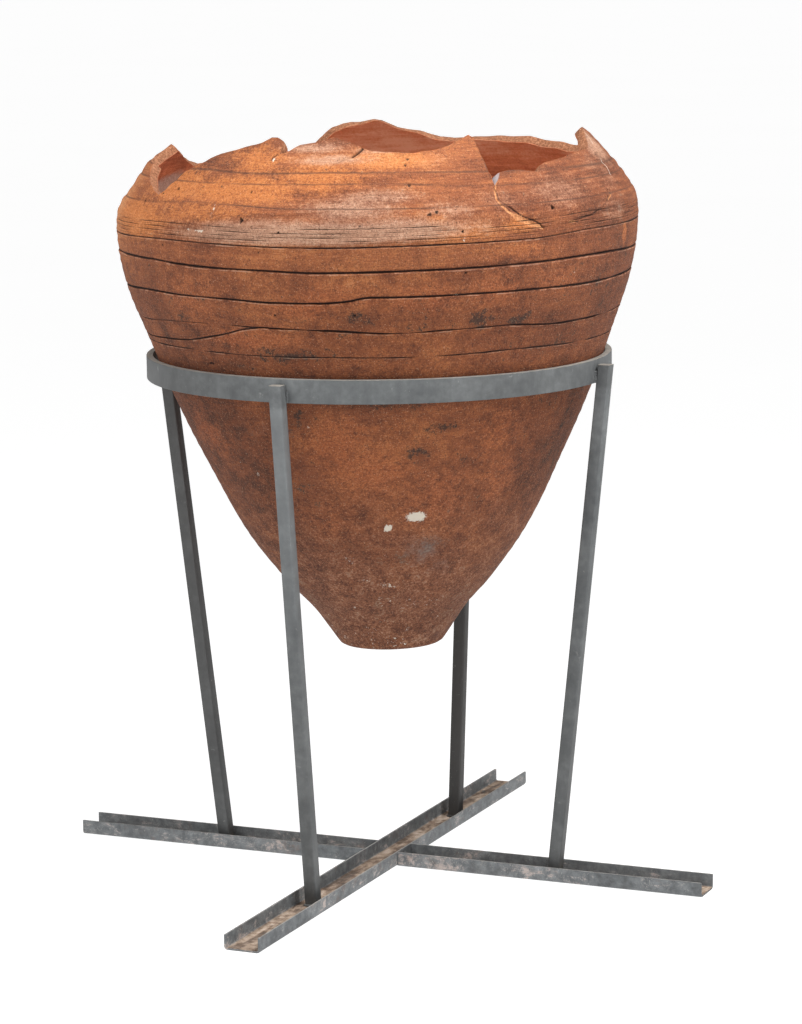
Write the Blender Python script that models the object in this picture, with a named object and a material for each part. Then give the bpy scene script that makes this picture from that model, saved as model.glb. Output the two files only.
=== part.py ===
# A large broken storage jar, a pithos, standing in the ring of a four-legged steel stand.
# Metres, +Z up. The origin is on the floor below the middle of the stand.
# The long channel runs along Y. The side that the photograph shows faces -Y and a little +X.
# Azimuths are degrees counter-clockwise from +X, seen from above.
import math

import bmesh
import bpy
from mathutils import Matrix, Vector

# Jar. Heights run up its own axis from a level just above the underside of the foot.
FOOT_RADIUS = 0.093
FOOT_DEPTH = 0.0045
BELLY_RADIUS = 0.452
BELLY_HEIGHT = 0.745
SHOULDER_RADIUS = 0.344
RIM_HIGH = 0.907
RIM_LOW = 0.812
RIM_WALL = 0.018
LOWER_WALL = 0.026
FLOOR_THICKNESS = 0.042
FOOT_CHAMFER = 0.006
GROOVE_WIDTH = 0.006
GROOVE_DEPTH = 0.003
BRANCH_GAP = 0.034
LEAN_DEG = 1.15
LEAN_TOWARDS_DEG = -155.7
JAR_OFFSET_X = -0.0011
JAR_OFFSET_Y = -0.0005
COLUMN_STEP_DEG = 6.2

# Stand
RING_TOP = 0.920
SEAT_HEIGHT = 0.512
BAR_HEIGHT = 0.040
BAR_THICKNESS = 0.012
RING_OFFSET_X = -0.0035
RING_OFFSET_Y = -0.0015
RING_SEGMENTS = 96
LEG_WIDTH = 0.0225
LEG_WALL = 0.002
LEG_CORNER = 0.003
LEG_TOP_DROP = 0.009
LEG_FOOT_RADIUS = 0.319
CHANNEL_WIDTH = 0.065
CHANNEL_HEIGHT = 0.026
CHANNEL_WALL = 0.0035
CHANNEL_BEND = 0.006
CHANNEL_LENGTH = 1.200
HOLE_DIAMETER = 0.007
HOLE_ACROSS = -0.021
HOLE_ALONG = 0.512
FIT_GAP = 0.0003

# Lower wall as (share of the belly's height, share of the way from foot radius to belly radius)
BODY_CURVE = (
    (0.0, 0.0), (0.034, 0.048), (0.08, 0.115), (0.148, 0.244), (0.282, 0.442), (0.43, 0.597),
    (0.591, 0.75), (0.752, 0.876), (0.86, 0.955), (0.94, 0.989), (1.0, 1.0),
)
# Shoulder as (share of the way up from the belly, share of the way in to the shoulder radius)
SHOULDER_CURVE = ((0.0, 0.0), (0.15, 0.02), (0.28, 0.10), (0.41, 0.23), (0.67, 0.54), (0.86, 0.80), (1.0, 1.0))

# Broken rim as (azimuth, share of the way from the lowest notch to the tallest shard)
LEFT_SHARD = ((-172.6, 0.66), (-168, 0.55), (-160, 0.46), (-151, 0.49), (-143, 0.47), (-138, 0.28), (-131, 0.12))
LEFT_NOTCH = ((-125.5, 0.0), (-123.4, 0.09), (-120.7, 0.32), (-116, 0.55), (-110, 0.72), (-101.5, 0.85))
FRONT_SHARDS = (
    (-95.7, 0.99), (-94, 1.0), (-91.9, 0.85), (-91.3, 0.71), (-89, 0.79), (-86.5, 0.87), (-82.5, 0.92),
    (-78, 0.99), (-74.3, 0.93), (-68, 0.76), (-64, 0.73), (-56.4, 0.68), (-49.7, 0.74), (-45, 0.84), (-40.6, 0.95),
)
DEEP_NOTCH = ((-40.1, 0.72), (-39.4, 0.04), (-36.3, 0.31), (-34, 0.33), (-25.4, 0.25), (-23.7, 0.35), (-21.5, 0.41))
RIGHT_SHARD = ((-8.8, 0.48), (2, 0.53), (4, 0.58), (8, 0.69), (15, 0.86), (20, 0.76), (30, 0.57), (40, 0.42))
BACK_RIM = (
    (51, 0.36), (63, 0.43), (68, 0.49), (77, 0.49), (92, 0.44), (96, 0.46), (101, 0.59), (107, 0.67), (111.6, 0.82),
    (114, 0.85), (123, 0.79), (126, 0.73), (130, 0.42), (137, 0.27), (150, 0.19), (165, 0.17), (176, 0.42), (180, 0.54),
)
RIM_CORNERS = LEFT_SHARD + LEFT_NOTCH + FRONT_SHARDS + DEEP_NOTCH + RIGHT_SHARD + BACK_RIM

# Incised rings as (share of the belly's height, rise and fall round the jar as a share, azimuth of the rise)
GROOVES = ((0.737, 0.006, -130), (0.793, 0.013, -120), (0.870, 0.003, -140), (0.933, 0.012, -140), (0.989, 0.004, -130))
BRANCHED_GROOVE = 1
# The branch leaves its ring at the first azimuth, is widest from the second to the third, ends at the fourth
BRANCH_SPAN = (-93, -119, -150, -190)
# Plain rows of the outer and inner wall, as shares of the belly's height
OUTER_ROWS = (0.08, 0.148, 0.215, 0.282, 0.35, 0.43, 0.51, 0.591, 0.67, 0.71)
INNER_ROWS = (1.0, 0.86, 0.72, 0.58, 0.43, 0.29, 0.17, 0.08, 0.03)
# Rows above the last ring, as shares of the way from the belly to the break
SHOULDER_ROWS = (0.16, 0.34, 0.52, 0.75, 1.0)


def smooth_value(stations, x):
    """A smooth curve through the stations that never overshoots them."""
    last = len(stations) - 2
    index = 0
    while index < last and x > stations[index + 1][0]:
        index += 1

    def slope(k):
        return (stations[k + 1][1] - stations[k][1]) / (stations[k + 1][0] - stations[k][0])

    def tangent(k):
        if k == 0:
            return slope(0)
        if k == len(stations) - 1:
            return slope(k - 1)
        before, after = slope(k - 1), slope(k)
        return 0.0 if before * after <= 0 else 2.0 * before * after / (before + after)

    (x0, y0), (x1, y1) = stations[index], stations[index + 1]
    span = x1 - x0
    t = (x - x0) / span
    start = y0 * (1 + 2 * t) + span * tangent(index) * t
    end = y1 * (3 - 2 * t) - span * tangent(index + 1) * (1 - t)
    return start * (1 - t) ** 2 + end * t ** 2


def wall_radius(height):
    """Outer radius of the turned wall, before any groove is cut."""
    if height <= BELLY_HEIGHT:
        share = smooth_value(BODY_CURVE, height / BELLY_HEIGHT)
        return FOOT_RADIUS + (BELLY_RADIUS - FOOT_RADIUS) * share
    share = smooth_value(SHOULDER_CURVE, (height - BELLY_HEIGHT) / (RIM_HIGH - BELLY_HEIGHT))
    return BELLY_RADIUS - (BELLY_RADIUS - SHOULDER_RADIUS) * share


def wall_slope(height):
    """How fast the outer radius grows with height."""
    step = 0.01 * BELLY_HEIGHT
    low, high = max(height - step, 0.0), height + step
    return (wall_radius(high) - wall_radius(low)) / (high - low)


def inner_point(height):
    """Radius and height of the inside of the wall, square to the outside at this height."""
    share = height / RIM_HIGH
    thickness = LOWER_WALL + (RIM_WALL - LOWER_WALL) * share
    slope = wall_slope(height)
    length = math.hypot(1.0, slope)
    return wall_radius(height) - thickness / length, height + thickness * slope / length


def break_height(azimuth):
    """Height of the broken edge at this azimuth."""
    corners = RIM_CORNERS[-1:] + RIM_CORNERS
    previous = (corners[0][0] - 360.0, corners[0][1])
    for corner in RIM_CORNERS:
        if azimuth <= corner[0]:
            share = (azimuth - previous[0]) / (corner[0] - previous[0])
            return RIM_LOW + (RIM_HIGH - RIM_LOW) * (previous[1] + (corner[1] - previous[1]) * share)
        previous = corner
    return RIM_LOW + (RIM_HIGH - RIM_LOW) * previous[1]


def column_azimuths():
    """One column at each corner of the broken rim, with others between where corners are far apart."""
    columns = []
    previous = RIM_CORNERS[-1][0] - 360.0
    for azimuth, _ in RIM_CORNERS:
        parts = math.ceil((azimuth - previous) / COLUMN_STEP_DEG)
        columns += [previous + (azimuth - previous) * (part + 1) / parts for part in range(parts)]
        previous = azimuth
    return columns


def ease(share):
    """A soft step from 0 to 1."""
    share = min(max(share, 0.0), 1.0)
    return share * share * (3.0 - 2.0 * share)


def branch_spread(azimuth):
    """How far the branch has left its ring, 0 to 1."""
    leave, wide, narrow, end = BRANCH_SPAN
    azimuth = azimuth if azimuth <= leave else azimuth - 360.0
    return ease((leave - azimuth) / (leave - wide)) * (1.0 - ease((narrow - azimuth) / (narrow - end)))


def groove_height(groove, azimuth):
    """Height of the middle of an incised ring, which is not quite level."""
    share, swing, towards = groove
    return BELLY_HEIGHT * (share + swing * math.cos(math.radians(azimuth - towards)))


def groove_rows(height, depth):
    """The two lips and the bottom of a groove, as (radius, height)."""
    half = GROOVE_WIDTH / 2
    bottom = (wall_radius(height) - depth, height)
    return [(wall_radius(height - half), height - half), bottom, (wall_radius(height + half), height + half)]


def outer_column(azimuth):
    """Outer wall from the foot to the broken edge, as (radius, height)."""
    rows = [(FOOT_RADIUS - FOOT_CHAMFER, -FOOT_DEPTH), (FOOT_RADIUS, FOOT_CHAMFER - FOOT_DEPTH)]
    rows += [(wall_radius(share * BELLY_HEIGHT), share * BELLY_HEIGHT) for share in OUTER_ROWS]
    for index, groove in enumerate(GROOVES):
        height = groove_height(groove, azimuth)
        if index == BRANCHED_GROOVE:
            spread = branch_spread(azimuth)
            gap = 1.5 * GROOVE_WIDTH + (BRANCH_GAP - 1.5 * GROOVE_WIDTH) * spread
            rows += groove_rows(height - gap, GROOVE_DEPTH * ease(3.0 * spread))
        rows += groove_rows(height, GROOVE_DEPTH)
    top = break_height(azimuth)
    base = max(BELLY_HEIGHT, rows[-1][1])
    for share in SHOULDER_ROWS:
        height = base + (top - base) * share
        rows.append((wall_radius(height), height))
    return rows


def inner_column(azimuth):
    """Inner wall from the broken edge down to the floor, as (radius, height)."""
    top = break_height(azimuth)
    middle = BELLY_HEIGHT + (top - BELLY_HEIGHT) * 0.5
    rows = [inner_point(top), inner_point(middle)]
    rows += [inner_point(share * BELLY_HEIGHT) for share in INNER_ROWS]
    return rows


def close_grid(mesh, grid):
    """Faces between neighbouring columns, and a fan at each end of the columns."""
    columns = [[mesh.verts.new(point) for point in column] for column in grid]
    for index, column in enumerate(columns):
        following = columns[(index + 1) % len(columns)]
        for row in range(len(column) - 1):
            mesh.faces.new((column[row], following[row], following[row + 1], column[row + 1]))
    mesh.faces.new([column[0] for column in reversed(columns)])
    return columns


def seat_lean():
    """How far the jar's section at the ring lies towards the lean, from the foot's middle."""
    lean = math.radians(LEAN_DEG)
    return SEAT_HEIGHT * math.sin(lean) + wall_radius(SEAT_HEIGHT) * math.tan(lean) * wall_slope(SEAT_HEIGHT)


def jar_placement():
    """The jar leans a little, and its section at the ring's top lies close to the stand's middle."""
    towards = math.radians(LEAN_TOWARDS_DEG)
    direction = Vector((math.cos(towards), math.sin(towards), 0.0))
    hinge = Vector((0.0, 0.0, 1.0)).cross(direction)
    foot = direction * -seat_lean() + Vector((JAR_OFFSET_X, JAR_OFFSET_Y, RING_TOP - SEAT_HEIGHT))
    return Matrix.Translation(foot) @ Matrix.Rotation(math.radians(LEAN_DEG), 4, hinge)


def ring_inner_radius():
    """The ring just clears the widest place of the leaning jar within the bar's height."""
    placement = jar_placement()
    widest = 0.0
    steps = 900
    for step in range(steps + 1):
        height = BELLY_HEIGHT * step / steps
        radius = wall_radius(height)
        for azimuth in range(0, 360, 5):
            angle = math.radians(azimuth)
            point = placement @ Vector((radius * math.cos(angle), radius * math.sin(angle), height))
            if RING_TOP - BAR_HEIGHT <= point.z <= RING_TOP + BELLY_HEIGHT / steps:
                widest = max(widest, math.hypot(point.x - RING_OFFSET_X, point.y - RING_OFFSET_Y))
    return (widest + FIT_GAP) / math.cos(math.pi / RING_SEGMENTS)


def material(name, color, roughness, metallic):
    made = bpy.data.materials.new(name)
    made.use_nodes = True
    shader = made.node_tree.nodes["Principled BSDF"]
    shader.inputs["Base Color"].default_value = (*color, 1.0)
    shader.inputs["Roughness"].default_value = roughness
    shader.inputs["Metallic"].default_value = metallic
    made.diffuse_color = (*color, 1.0)
    return made


def place(name, mesh, made_of, smooth_deg=None, matrix=None):
    """Turns a bmesh into a named object."""
    bmesh.ops.recalc_face_normals(mesh, faces=mesh.faces)
    data = bpy.data.meshes.new(name)
    mesh.to_mesh(data)
    mesh.free()
    data.materials.append(made_of)
    if smooth_deg is not None:
        data.shade_smooth()
        data.set_sharp_from_angle(angle=math.radians(smooth_deg))
    thing = bpy.data.objects.new(name, data)
    bpy.context.scene.collection.objects.link(thing)
    if matrix is not None:
        thing.matrix_world = matrix
    return thing


def build_jar(clay):
    """Turned wall, hollow inside, with its incised rings and its broken rim."""
    mesh = bmesh.new()
    grid = []
    for azimuth in column_azimuths():
        angle = math.radians(azimuth)
        rows = outer_column(azimuth) + inner_column(azimuth)
        grid.append([(r * math.cos(angle), r * math.sin(angle), z) for r, z in rows])
    columns = close_grid(mesh, grid)
    middle = mesh.verts.new((0.0, 0.0, FLOOR_THICKNESS))
    for index, column in enumerate(columns):
        mesh.faces.new((column[-1], columns[(index + 1) % len(columns)][-1], middle))
    return place("pithos", mesh, clay, smooth_deg=50, matrix=jar_placement())


def build_ring(steel):
    """Flat bar rolled on edge into a hoop."""
    mesh = bmesh.new()
    inner = ring_inner_radius()
    outer = inner + BAR_THICKNESS
    section = ((inner, RING_TOP - BAR_HEIGHT), (outer, RING_TOP - BAR_HEIGHT), (outer, RING_TOP), (inner, RING_TOP))
    loops = []
    for step in range(RING_SEGMENTS):
        angle = math.tau * step / RING_SEGMENTS
        loops.append([mesh.verts.new((r * math.cos(angle), r * math.sin(angle), z)) for r, z in section])
    for index, loop in enumerate(loops):
        following = loops[(index + 1) % RING_SEGMENTS]
        for side in range(4):
            mesh.faces.new((loop[side], loop[(side + 1) % 4], following[(side + 1) % 4], following[side]))
    offset = Matrix.Translation((RING_OFFSET_X, RING_OFFSET_Y, 0.0))
    return place("support_ring", mesh, steel, smooth_deg=40, matrix=offset)


def rounded_square(width, corner, steps=3):
    """Outline of a square tube's wall, with its corners rounded."""
    outline = []
    offset = width / 2 - corner
    for quarter in range(4):
        middle = math.pi / 4 + quarter * math.pi / 2
        centre = (offset * math.copysign(1, math.cos(middle)), offset * math.copysign(1, math.sin(middle)))
        for step in range(steps + 1):
            angle = quarter * math.pi / 2 + step * math.pi / 2 / steps
            outline.append((centre[0] + corner * math.cos(angle), centre[1] + corner * math.sin(angle)))
    return outline


def build_leg(name, azimuth_deg, steel):
    """Square tube, level at both ends and capped on top, that leans out against the ring's lower edge."""
    mesh = bmesh.new()
    turn = Matrix.Rotation(math.radians(azimuth_deg), 4, "Z")
    middle = turn.inverted() @ Vector((RING_OFFSET_X, RING_OFFSET_Y, 0.0))
    foot = CHANNEL_WALL + FIT_GAP
    rise = RING_TOP - BAR_HEIGHT - foot
    reach = middle.x + ring_inner_radius() + BAR_THICKNESS + FIT_GAP + LEG_WIDTH / 2 - LEG_FOOT_RADIUS
    lean = Vector((reach / rise, middle.y / rise, 1.0))
    height = RING_TOP - LEG_TOP_DROP - foot

    def ring(outline, level):
        return [mesh.verts.new(Vector((x, y, 0.0)) + lean * level) for x, y in outline]

    outside = rounded_square(LEG_WIDTH, LEG_CORNER)
    inside = rounded_square(LEG_WIDTH - 2 * LEG_WALL, LEG_CORNER - LEG_WALL)
    loops = [ring(outside, height), ring(outside, 0.0), ring(inside, 0.0), ring(inside, height - LEG_WALL)]
    for upper, lower in zip(loops, loops[1:]):
        for index in range(len(upper)):
            after = (index + 1) % len(upper)
            mesh.faces.new((upper[index], lower[index], lower[after], upper[after]))
    mesh.faces.new(loops[0])
    mesh.faces.new(reversed(loops[-1]))
    return place(name, mesh, steel, smooth_deg=35, matrix=turn @ Matrix.Translation((LEG_FOOT_RADIUS, 0.0, foot)))


def channel_section(steps=3):
    """Outline of a cold-formed channel that opens upwards, as (across, up)."""
    half = CHANNEL_WIDTH / 2
    inner_bend = CHANNEL_BEND - CHANNEL_WALL
    centre = (half - CHANNEL_BEND, CHANNEL_BEND)
    quarter = [math.pi / 2 * step / steps for step in range(steps + 1)]
    outer = [(centre[0] + CHANNEL_BEND * math.sin(a), centre[1] - CHANNEL_BEND * math.cos(a)) for a in quarter]
    inner = [(centre[0] + inner_bend * math.sin(a), centre[1] - inner_bend * math.cos(a)) for a in quarter]
    right = outer + [(half, CHANNEL_HEIGHT), (half - CHANNEL_WALL, CHANNEL_HEIGHT)] + inner[::-1]
    return right + [(-x, z) for x, z in reversed(right)]


def build_channel(name, start, end, turn_deg, steel):
    """A length of channel that runs outwards from start to end along the turned X axis."""
    mesh = bmesh.new()
    section = channel_section()
    near = [mesh.verts.new((start, across, up)) for across, up in section]
    far = [mesh.verts.new((end, across, up)) for across, up in section]
    for index in range(len(section)):
        after = (index + 1) % len(section)
        mesh.faces.new((near[index], near[after], far[after], far[index]))
    mesh.faces.new(reversed(near))
    mesh.faces.new(far)
    return place(name, mesh, steel, smooth_deg=35, matrix=Matrix.Rotation(math.radians(turn_deg), 4, "Z"))


def drill_web(channel, steel):
    """The bolt hole near the back end of the long channel."""
    mesh = bmesh.new()
    radius = HOLE_DIAMETER / 2
    centre = Matrix.Translation((HOLE_ACROSS, HOLE_ALONG, CHANNEL_WALL / 2))
    bmesh.ops.create_cone(mesh, cap_ends=True, segments=20, radius1=radius, radius2=radius,
                          depth=CHANNEL_WALL * 3, matrix=centre)
    cutter = place("hole_cutter", mesh, steel)
    cutter.hide_render = True
    cutter.display_type = "WIRE"
    cut = channel.modifiers.new("bolt hole", "BOOLEAN")
    cut.operation = "DIFFERENCE"
    cut.solver = "EXACT"
    cut.object = cutter


def build():
    for thing in list(bpy.data.objects):
        bpy.data.objects.remove(thing, do_unlink=True)
    clay = material("fired clay", (0.42, 0.17, 0.075), 0.85, 0.0)
    paint = material("grey paint", (0.17, 0.18, 0.185), 0.55, 0.0)
    build_jar(clay)
    build_ring(paint)
    for name, azimuth in (("leg_front", -90), ("leg_right", 0), ("leg_back", 90), ("leg_left", 180)):
        build_leg(name, azimuth, paint)
    half = CHANNEL_LENGTH / 2
    long_channel = build_channel("long_channel", -half, half, 90, paint)
    drill_web(long_channel, paint)
    inner_end = CHANNEL_WIDTH / 2 + FIT_GAP
    build_channel("half_channel_left", inner_end, half, 180, paint)
    build_channel("half_channel_right", inner_end, half, 0, paint)


build()
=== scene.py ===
import math

import bmesh
import bpy
import numpy as np
from mathutils import Matrix, Vector


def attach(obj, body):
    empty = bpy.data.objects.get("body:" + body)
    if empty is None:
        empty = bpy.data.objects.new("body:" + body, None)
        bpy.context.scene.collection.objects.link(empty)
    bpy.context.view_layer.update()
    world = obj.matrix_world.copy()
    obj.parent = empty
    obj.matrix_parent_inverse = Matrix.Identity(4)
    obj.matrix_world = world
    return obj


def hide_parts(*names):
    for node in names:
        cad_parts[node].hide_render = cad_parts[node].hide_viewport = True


# A large broken storage jar standing in the ring of a four-legged steel stand.
# Metres, +Z up, origin on the floor below the middle of the stand. Azimuths are degrees from +X.

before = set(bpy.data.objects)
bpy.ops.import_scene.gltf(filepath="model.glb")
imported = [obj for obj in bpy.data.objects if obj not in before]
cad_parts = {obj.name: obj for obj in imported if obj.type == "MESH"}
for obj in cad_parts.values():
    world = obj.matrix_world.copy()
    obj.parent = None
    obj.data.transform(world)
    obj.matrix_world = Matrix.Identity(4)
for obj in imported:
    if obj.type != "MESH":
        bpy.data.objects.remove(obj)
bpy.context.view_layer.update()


# Node building

class Wire:  # one output of a node, with arithmetic on it
    def __init__(self, tree, socket=None):
        self.tree = tree
        self.socket = socket

    def node(self, kind, settings=None, values=None, output=0):
        made = self.tree.nodes.new(kind)
        count = len(self.tree.nodes)
        made.location = (count % 14 * 190.0, count // 14 * -260.0)
        for name, value in (settings or {}).items():
            if name == "stops":
                fillRamp(made.color_ramp, value)
            else:
                setattr(made, name, value)
        for name, value in (values or {}).items():
            socket = made.inputs[name]
            if isinstance(value, Wire):
                self.tree.links.new(value.socket, socket)
            else:
                socket.default_value = value
        return Wire(self.tree, made.outputs[output])

    def math(self, operation, *terms, clamp=False):
        settings = {"operation": operation, "use_clamp": clamp}
        return self.node("ShaderNodeMath", settings, dict(enumerate(terms)))

    def __add__(self, other):
        return self.math("ADD", self, other)

    def __radd__(self, other):
        return self.math("ADD", other, self)

    def __sub__(self, other):
        return self.math("SUBTRACT", self, other)

    def __rsub__(self, other):
        return self.math("SUBTRACT", other, self)

    def __mul__(self, other):
        return self.math("MULTIPLY", self, other)

    def __rmul__(self, other):
        return self.math("MULTIPLY", other, self)

    def step(self, low, high):  # soft step from 0 at low to 1 at high
        return self.node("ShaderNodeMapRange", {"interpolation_type": "SMOOTHSTEP"},
                         {"Value": self, "From Min": low, "From Max": high})

    def clamped(self):
        return self.math("ADD", self, 0.0, clamp=True)

    def near(self, middle, width):  # 1 at the middle value, 0 from width away
        return 1.0 - self.math("ABSOLUTE", self - middle).step(0.0, width)

    def over(self, below, colour):  # this mask lays colour over the one below
        return self.node("ShaderNodeMix", {"data_type": "RGBA"}, {0: self, 6: below, 7: colour}, output=2)


def fillRamp(ramp, stops):
    while len(ramp.elements) < len(stops):
        ramp.elements.new(1.0)
    for element, (place, *colour) in zip(ramp.elements, stops):
        element.position = place
        element.color = (*colour, 1.0)


def rgb(red, green, blue):
    return (red, green, blue, 1.0)


class Finish:  # a material with its shader and the fields that most finishes use
    def __init__(self, name):
        self.material = bpy.data.materials.new(name)
        self.material.use_nodes = True
        tree = self.material.node_tree
        self.shader = tree.nodes["Principled BSDF"]
        self.start = Wire(tree)
        self.place = self.start.node("ShaderNodeTexCoord", output=3)
        split = self.start.node("ShaderNodeSeparateXYZ", values={0: self.place}).socket.node
        self.x, self.y, self.z = (Wire(tree, socket) for socket in split.outputs)

    def attribute(self, name):
        return self.start.node("ShaderNodeAttribute", {"attribute_name": name}, output=2)

    def vector(self, x, y, z):
        return self.start.node("ShaderNodeCombineXYZ", values={0: x, 1: y, 2: z})

    def noise(self, scale, detail, rough, at=None, warp=0.0):
        return self.start.node("ShaderNodeTexNoise", values={
            "Vector": at or self.place, "Scale": scale, "Detail": detail, "Roughness": rough,
            "Distortion": warp})

    def dots(self, scale, output=0):
        return self.start.node(
            "ShaderNodeTexVoronoi", values={"Vector": self.place, "Scale": scale}, output=output)

    def ramp(self, value, stops):
        return self.start.node("ShaderNodeValToRGB", {"stops": stops}, {0: value})

    def facingUp(self):  # 1 where the surface faces straight up
        normal = self.start.node("ShaderNodeNewGeometry", output=1)
        return self.start.node("ShaderNodeSeparateXYZ", values={0: normal}, output=2)

    def finish(self, colour, roughness, height, distance, specular):
        links = self.start.tree.links
        links.new(colour.socket, self.shader.inputs["Base Color"])
        links.new(roughness.socket, self.shader.inputs["Roughness"])
        self.shader.inputs["Specular IOR Level"].default_value = specular
        bump = self.start.node("ShaderNodeBump", values={
            "Strength": 1.0, "Distance": distance, "Height": height})
        links.new(bump.socket, self.shader.inputs["Normal"])
        return self.material


def newTree(name, inputs):  # inputs as name: (kind of socket, value)
    tree = bpy.data.node_groups.new(name, "GeometryNodeTree")
    tree.interface.new_socket("Geometry", in_out="INPUT", socket_type="NodeSocketGeometry")
    for label, (kind, value) in inputs.items():
        socket = tree.interface.new_socket(label, in_out="INPUT", socket_type="NodeSocket" + kind)
        if value is not None:
            socket.default_value = value
    tree.interface.new_socket("Geometry", in_out="OUTPUT", socket_type="NodeSocketGeometry")
    group = tree.nodes.new("NodeGroupInput")
    return tree, Wire(tree), {socket.name: Wire(tree, socket) for socket in group.outputs if socket.name}


def endTree(tree, start, geometry, material):
    real = start.node("GeometryNodeRealizeInstances", values={0: geometry})
    painted = start.node("GeometryNodeSetMaterial", values={"Geometry": real, "Material": material})
    end = tree.nodes.new("NodeGroupOutput")
    tree.links.new(painted.socket, end.inputs[0])
    return tree


def newObject(name, mesh):
    thing = bpy.data.objects.new(name, mesh)
    bpy.context.scene.collection.objects.link(thing)
    return thing


def growMesh(thing, tree, values):  # runs the tree on the object and keeps the result as its plain mesh
    modifier = thing.modifiers.new(tree.name, "NODES")
    modifier.node_group = tree
    for item in tree.interface.items_tree:
        if item.item_type == "SOCKET" and item.in_out == "INPUT" and item.name in values:
            modifier[item.identifier] = values[item.name]
    shapes = bpy.context.evaluated_depsgraph_get()
    grown = bpy.data.meshes.new_from_object(
        thing.evaluated_get(shapes), preserve_all_data_layers=True, depsgraph=shapes)
    thing.modifiers.clear()
    thing.data = grown
    return thing


def keep(thing, slotName, *nodes):  # the piece stands for these nodes
    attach(thing, "root")
    if nodes:
        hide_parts(*nodes)
    return thing


# Camera at the photograph's place

cameraPlace = {
    "location": (2.43025, -5.55616, 1.67055),
    "heading": 23.332,
    "down": 9.7165,
    "roll": -0.6767,
    "lens": 122.88,
}


def placeCamera(settings):
    data = bpy.data.cameras.new("camera")
    data.lens = settings["lens"]
    data.sensor_width = 36.0
    data.clip_end = 400.0
    camera = newObject("camera", data)
    turn = Matrix.Rotation(math.radians(settings["heading"]), 4, "Z")
    tip = Matrix.Rotation(math.radians(90.0 - settings["down"]), 4, "X")
    roll = Matrix.Rotation(math.radians(settings["roll"]), 4, "Z")
    camera.matrix_world = Matrix.Translation(settings["location"]) @ turn @ tip @ roll
    bpy.context.scene.camera = camera


placeCamera(cameraPlace)
print("camera placed")


# Jar: heights run up its own axis from the underside of the foot

jar = {
    "footRadius": 0.093,
    "bellyRadius": 0.452,
    "bellyHeight": 0.745,
    "topRadius": 0.344,
    "topHeight": 0.907,
    "rimWall": 0.018,
    "lowerWall": 0.026,
    "floorTop": 0.042,
    "footChamfer": 0.006,
    "leanDeg": 1.15,
    "leanTowards": -155.7,
    "ringTop": 0.920,
    "seatHeight": 0.512,
    "columns": 504,
    "backShare": 0.62,     # how close the columns stand at the back, against the front
    "cornerSpread": 15.0,  # how many columns a corner of the break spreads over
    "edgeJitter": 0.0003,
    "footDepth": 0.0045,
    "offset": (-0.0011, -0.0005),
    "footRows": (0.0015, 0.484, 53),   # heights and number of the plain rows up to the ring bar
    "ringRows": (0.492, 0.775),        # where the rows that follow the incised rings begin and end
    "shoulderRows": 21,
    "edgeRoughness": 0.00018,
    "edgeCrown": 0.0016,               # how far the broken surface stands up between its edges
    "innerRows": (0.745, 9),           # where the rows inside the shoulder begin, and how many
    "floorRows": (0.965, 0.03, 25),    # the rest of the inside, as shares of the belly's height
    "backFrom": 24.0,                  # the azimuth from which the columns stand closer
    "fifthLevel": 0.7365,              # the fifth ring's mean height, which the combed lines follow
    "thirdLevel": 0.647,
    "combFollow": 0.8,
    "combRows": 0.0022,                # rows this far above and below each combed line
    "coreAt": (-38.0, 2.6),            # the grey core on the break: azimuth and half width
    "seatFades": (0.430, 0.455, 0.525, 0.540),  # the wall stays plain in between, inside the ring bar
    "seed": 7,
}
refineMargins = {"pore": 0.0035, "crack": 0.0045, "spall": 0.001, "scratch": 0.004}
bodyCurve = (
    (0.0, 0.0), (0.034, 0.048), (0.08, 0.115), (0.148, 0.244), (0.282, 0.442), (0.43, 0.597),
    (0.591, 0.75), (0.752, 0.876), (0.86, 0.955), (0.94, 0.989), (1.0, 1.0),
)
shoulderCurve = ((0.0, 0.0), (0.15, 0.02), (0.28, 0.10), (0.41, 0.23), (0.67, 0.54), (0.86, 0.80), (1.0, 1.0))

# The broken edge as (azimuth, height in millimetres), once round from the left
breakCorners = (
    (-172.6, 875), (-168, 864), (-160, 855), (-151, 859), (-143, 857), (-137.8, 839), (-130.7, 823),
    (-125.3, 812), (-123.4, 820.5), (-120.7, 842), (-118.5, 855), (-116.2, 863.5), (-110.2, 880),
    (-101.5, 893), (-98.2, 899.5), (-95.7, 906.4), (-93.9, 907), (-91.9, 901), (-91.3, 893.5),
    (-92.0, 879.8), (-88.9, 887), (-86.5, 895), (-82.5, 899), (-77.8, 906), (-74.3, 900), (-70, 890),
    (-67.9, 884), (-63.9, 881), (-60.2, 879), (-56.4, 877), (-53.8, 879.6), (-49.7, 882), (-45.1, 891.6),
    (-40.4, 902), (-39.3, 897.5), (-39.4, 880), (-39.2, 861.5), (-39.5, 830), (-39.6, 816), (-38.2, 827),
    (-36.3, 841.5), (-33.9, 843.5), (-30.6, 842), (-25.4, 836), (-23.7, 845), (-21.5, 851), (-15.6, 853),
    (-8.8, 858), (2, 862), (4, 867), (8, 878), (15.4, 892.6), (20, 884), (30, 867), (40, 852),
    (50.8, 845.7), (55.7, 850), (62.7, 853), (67.6, 858.6), (76.8, 859), (85.8, 856), (92, 854),
    (95.8, 856), (101, 867.6), (107.3, 875.6), (111.6, 889.6), (113.8, 892.6), (118, 889), (120.6, 889),
    (122.9, 886.7), (126, 881), (127.7, 870), (130.1, 852), (137, 838), (150, 829), (164.7, 828.5),
    (176.2, 852.5), (180, 863),
)
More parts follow.
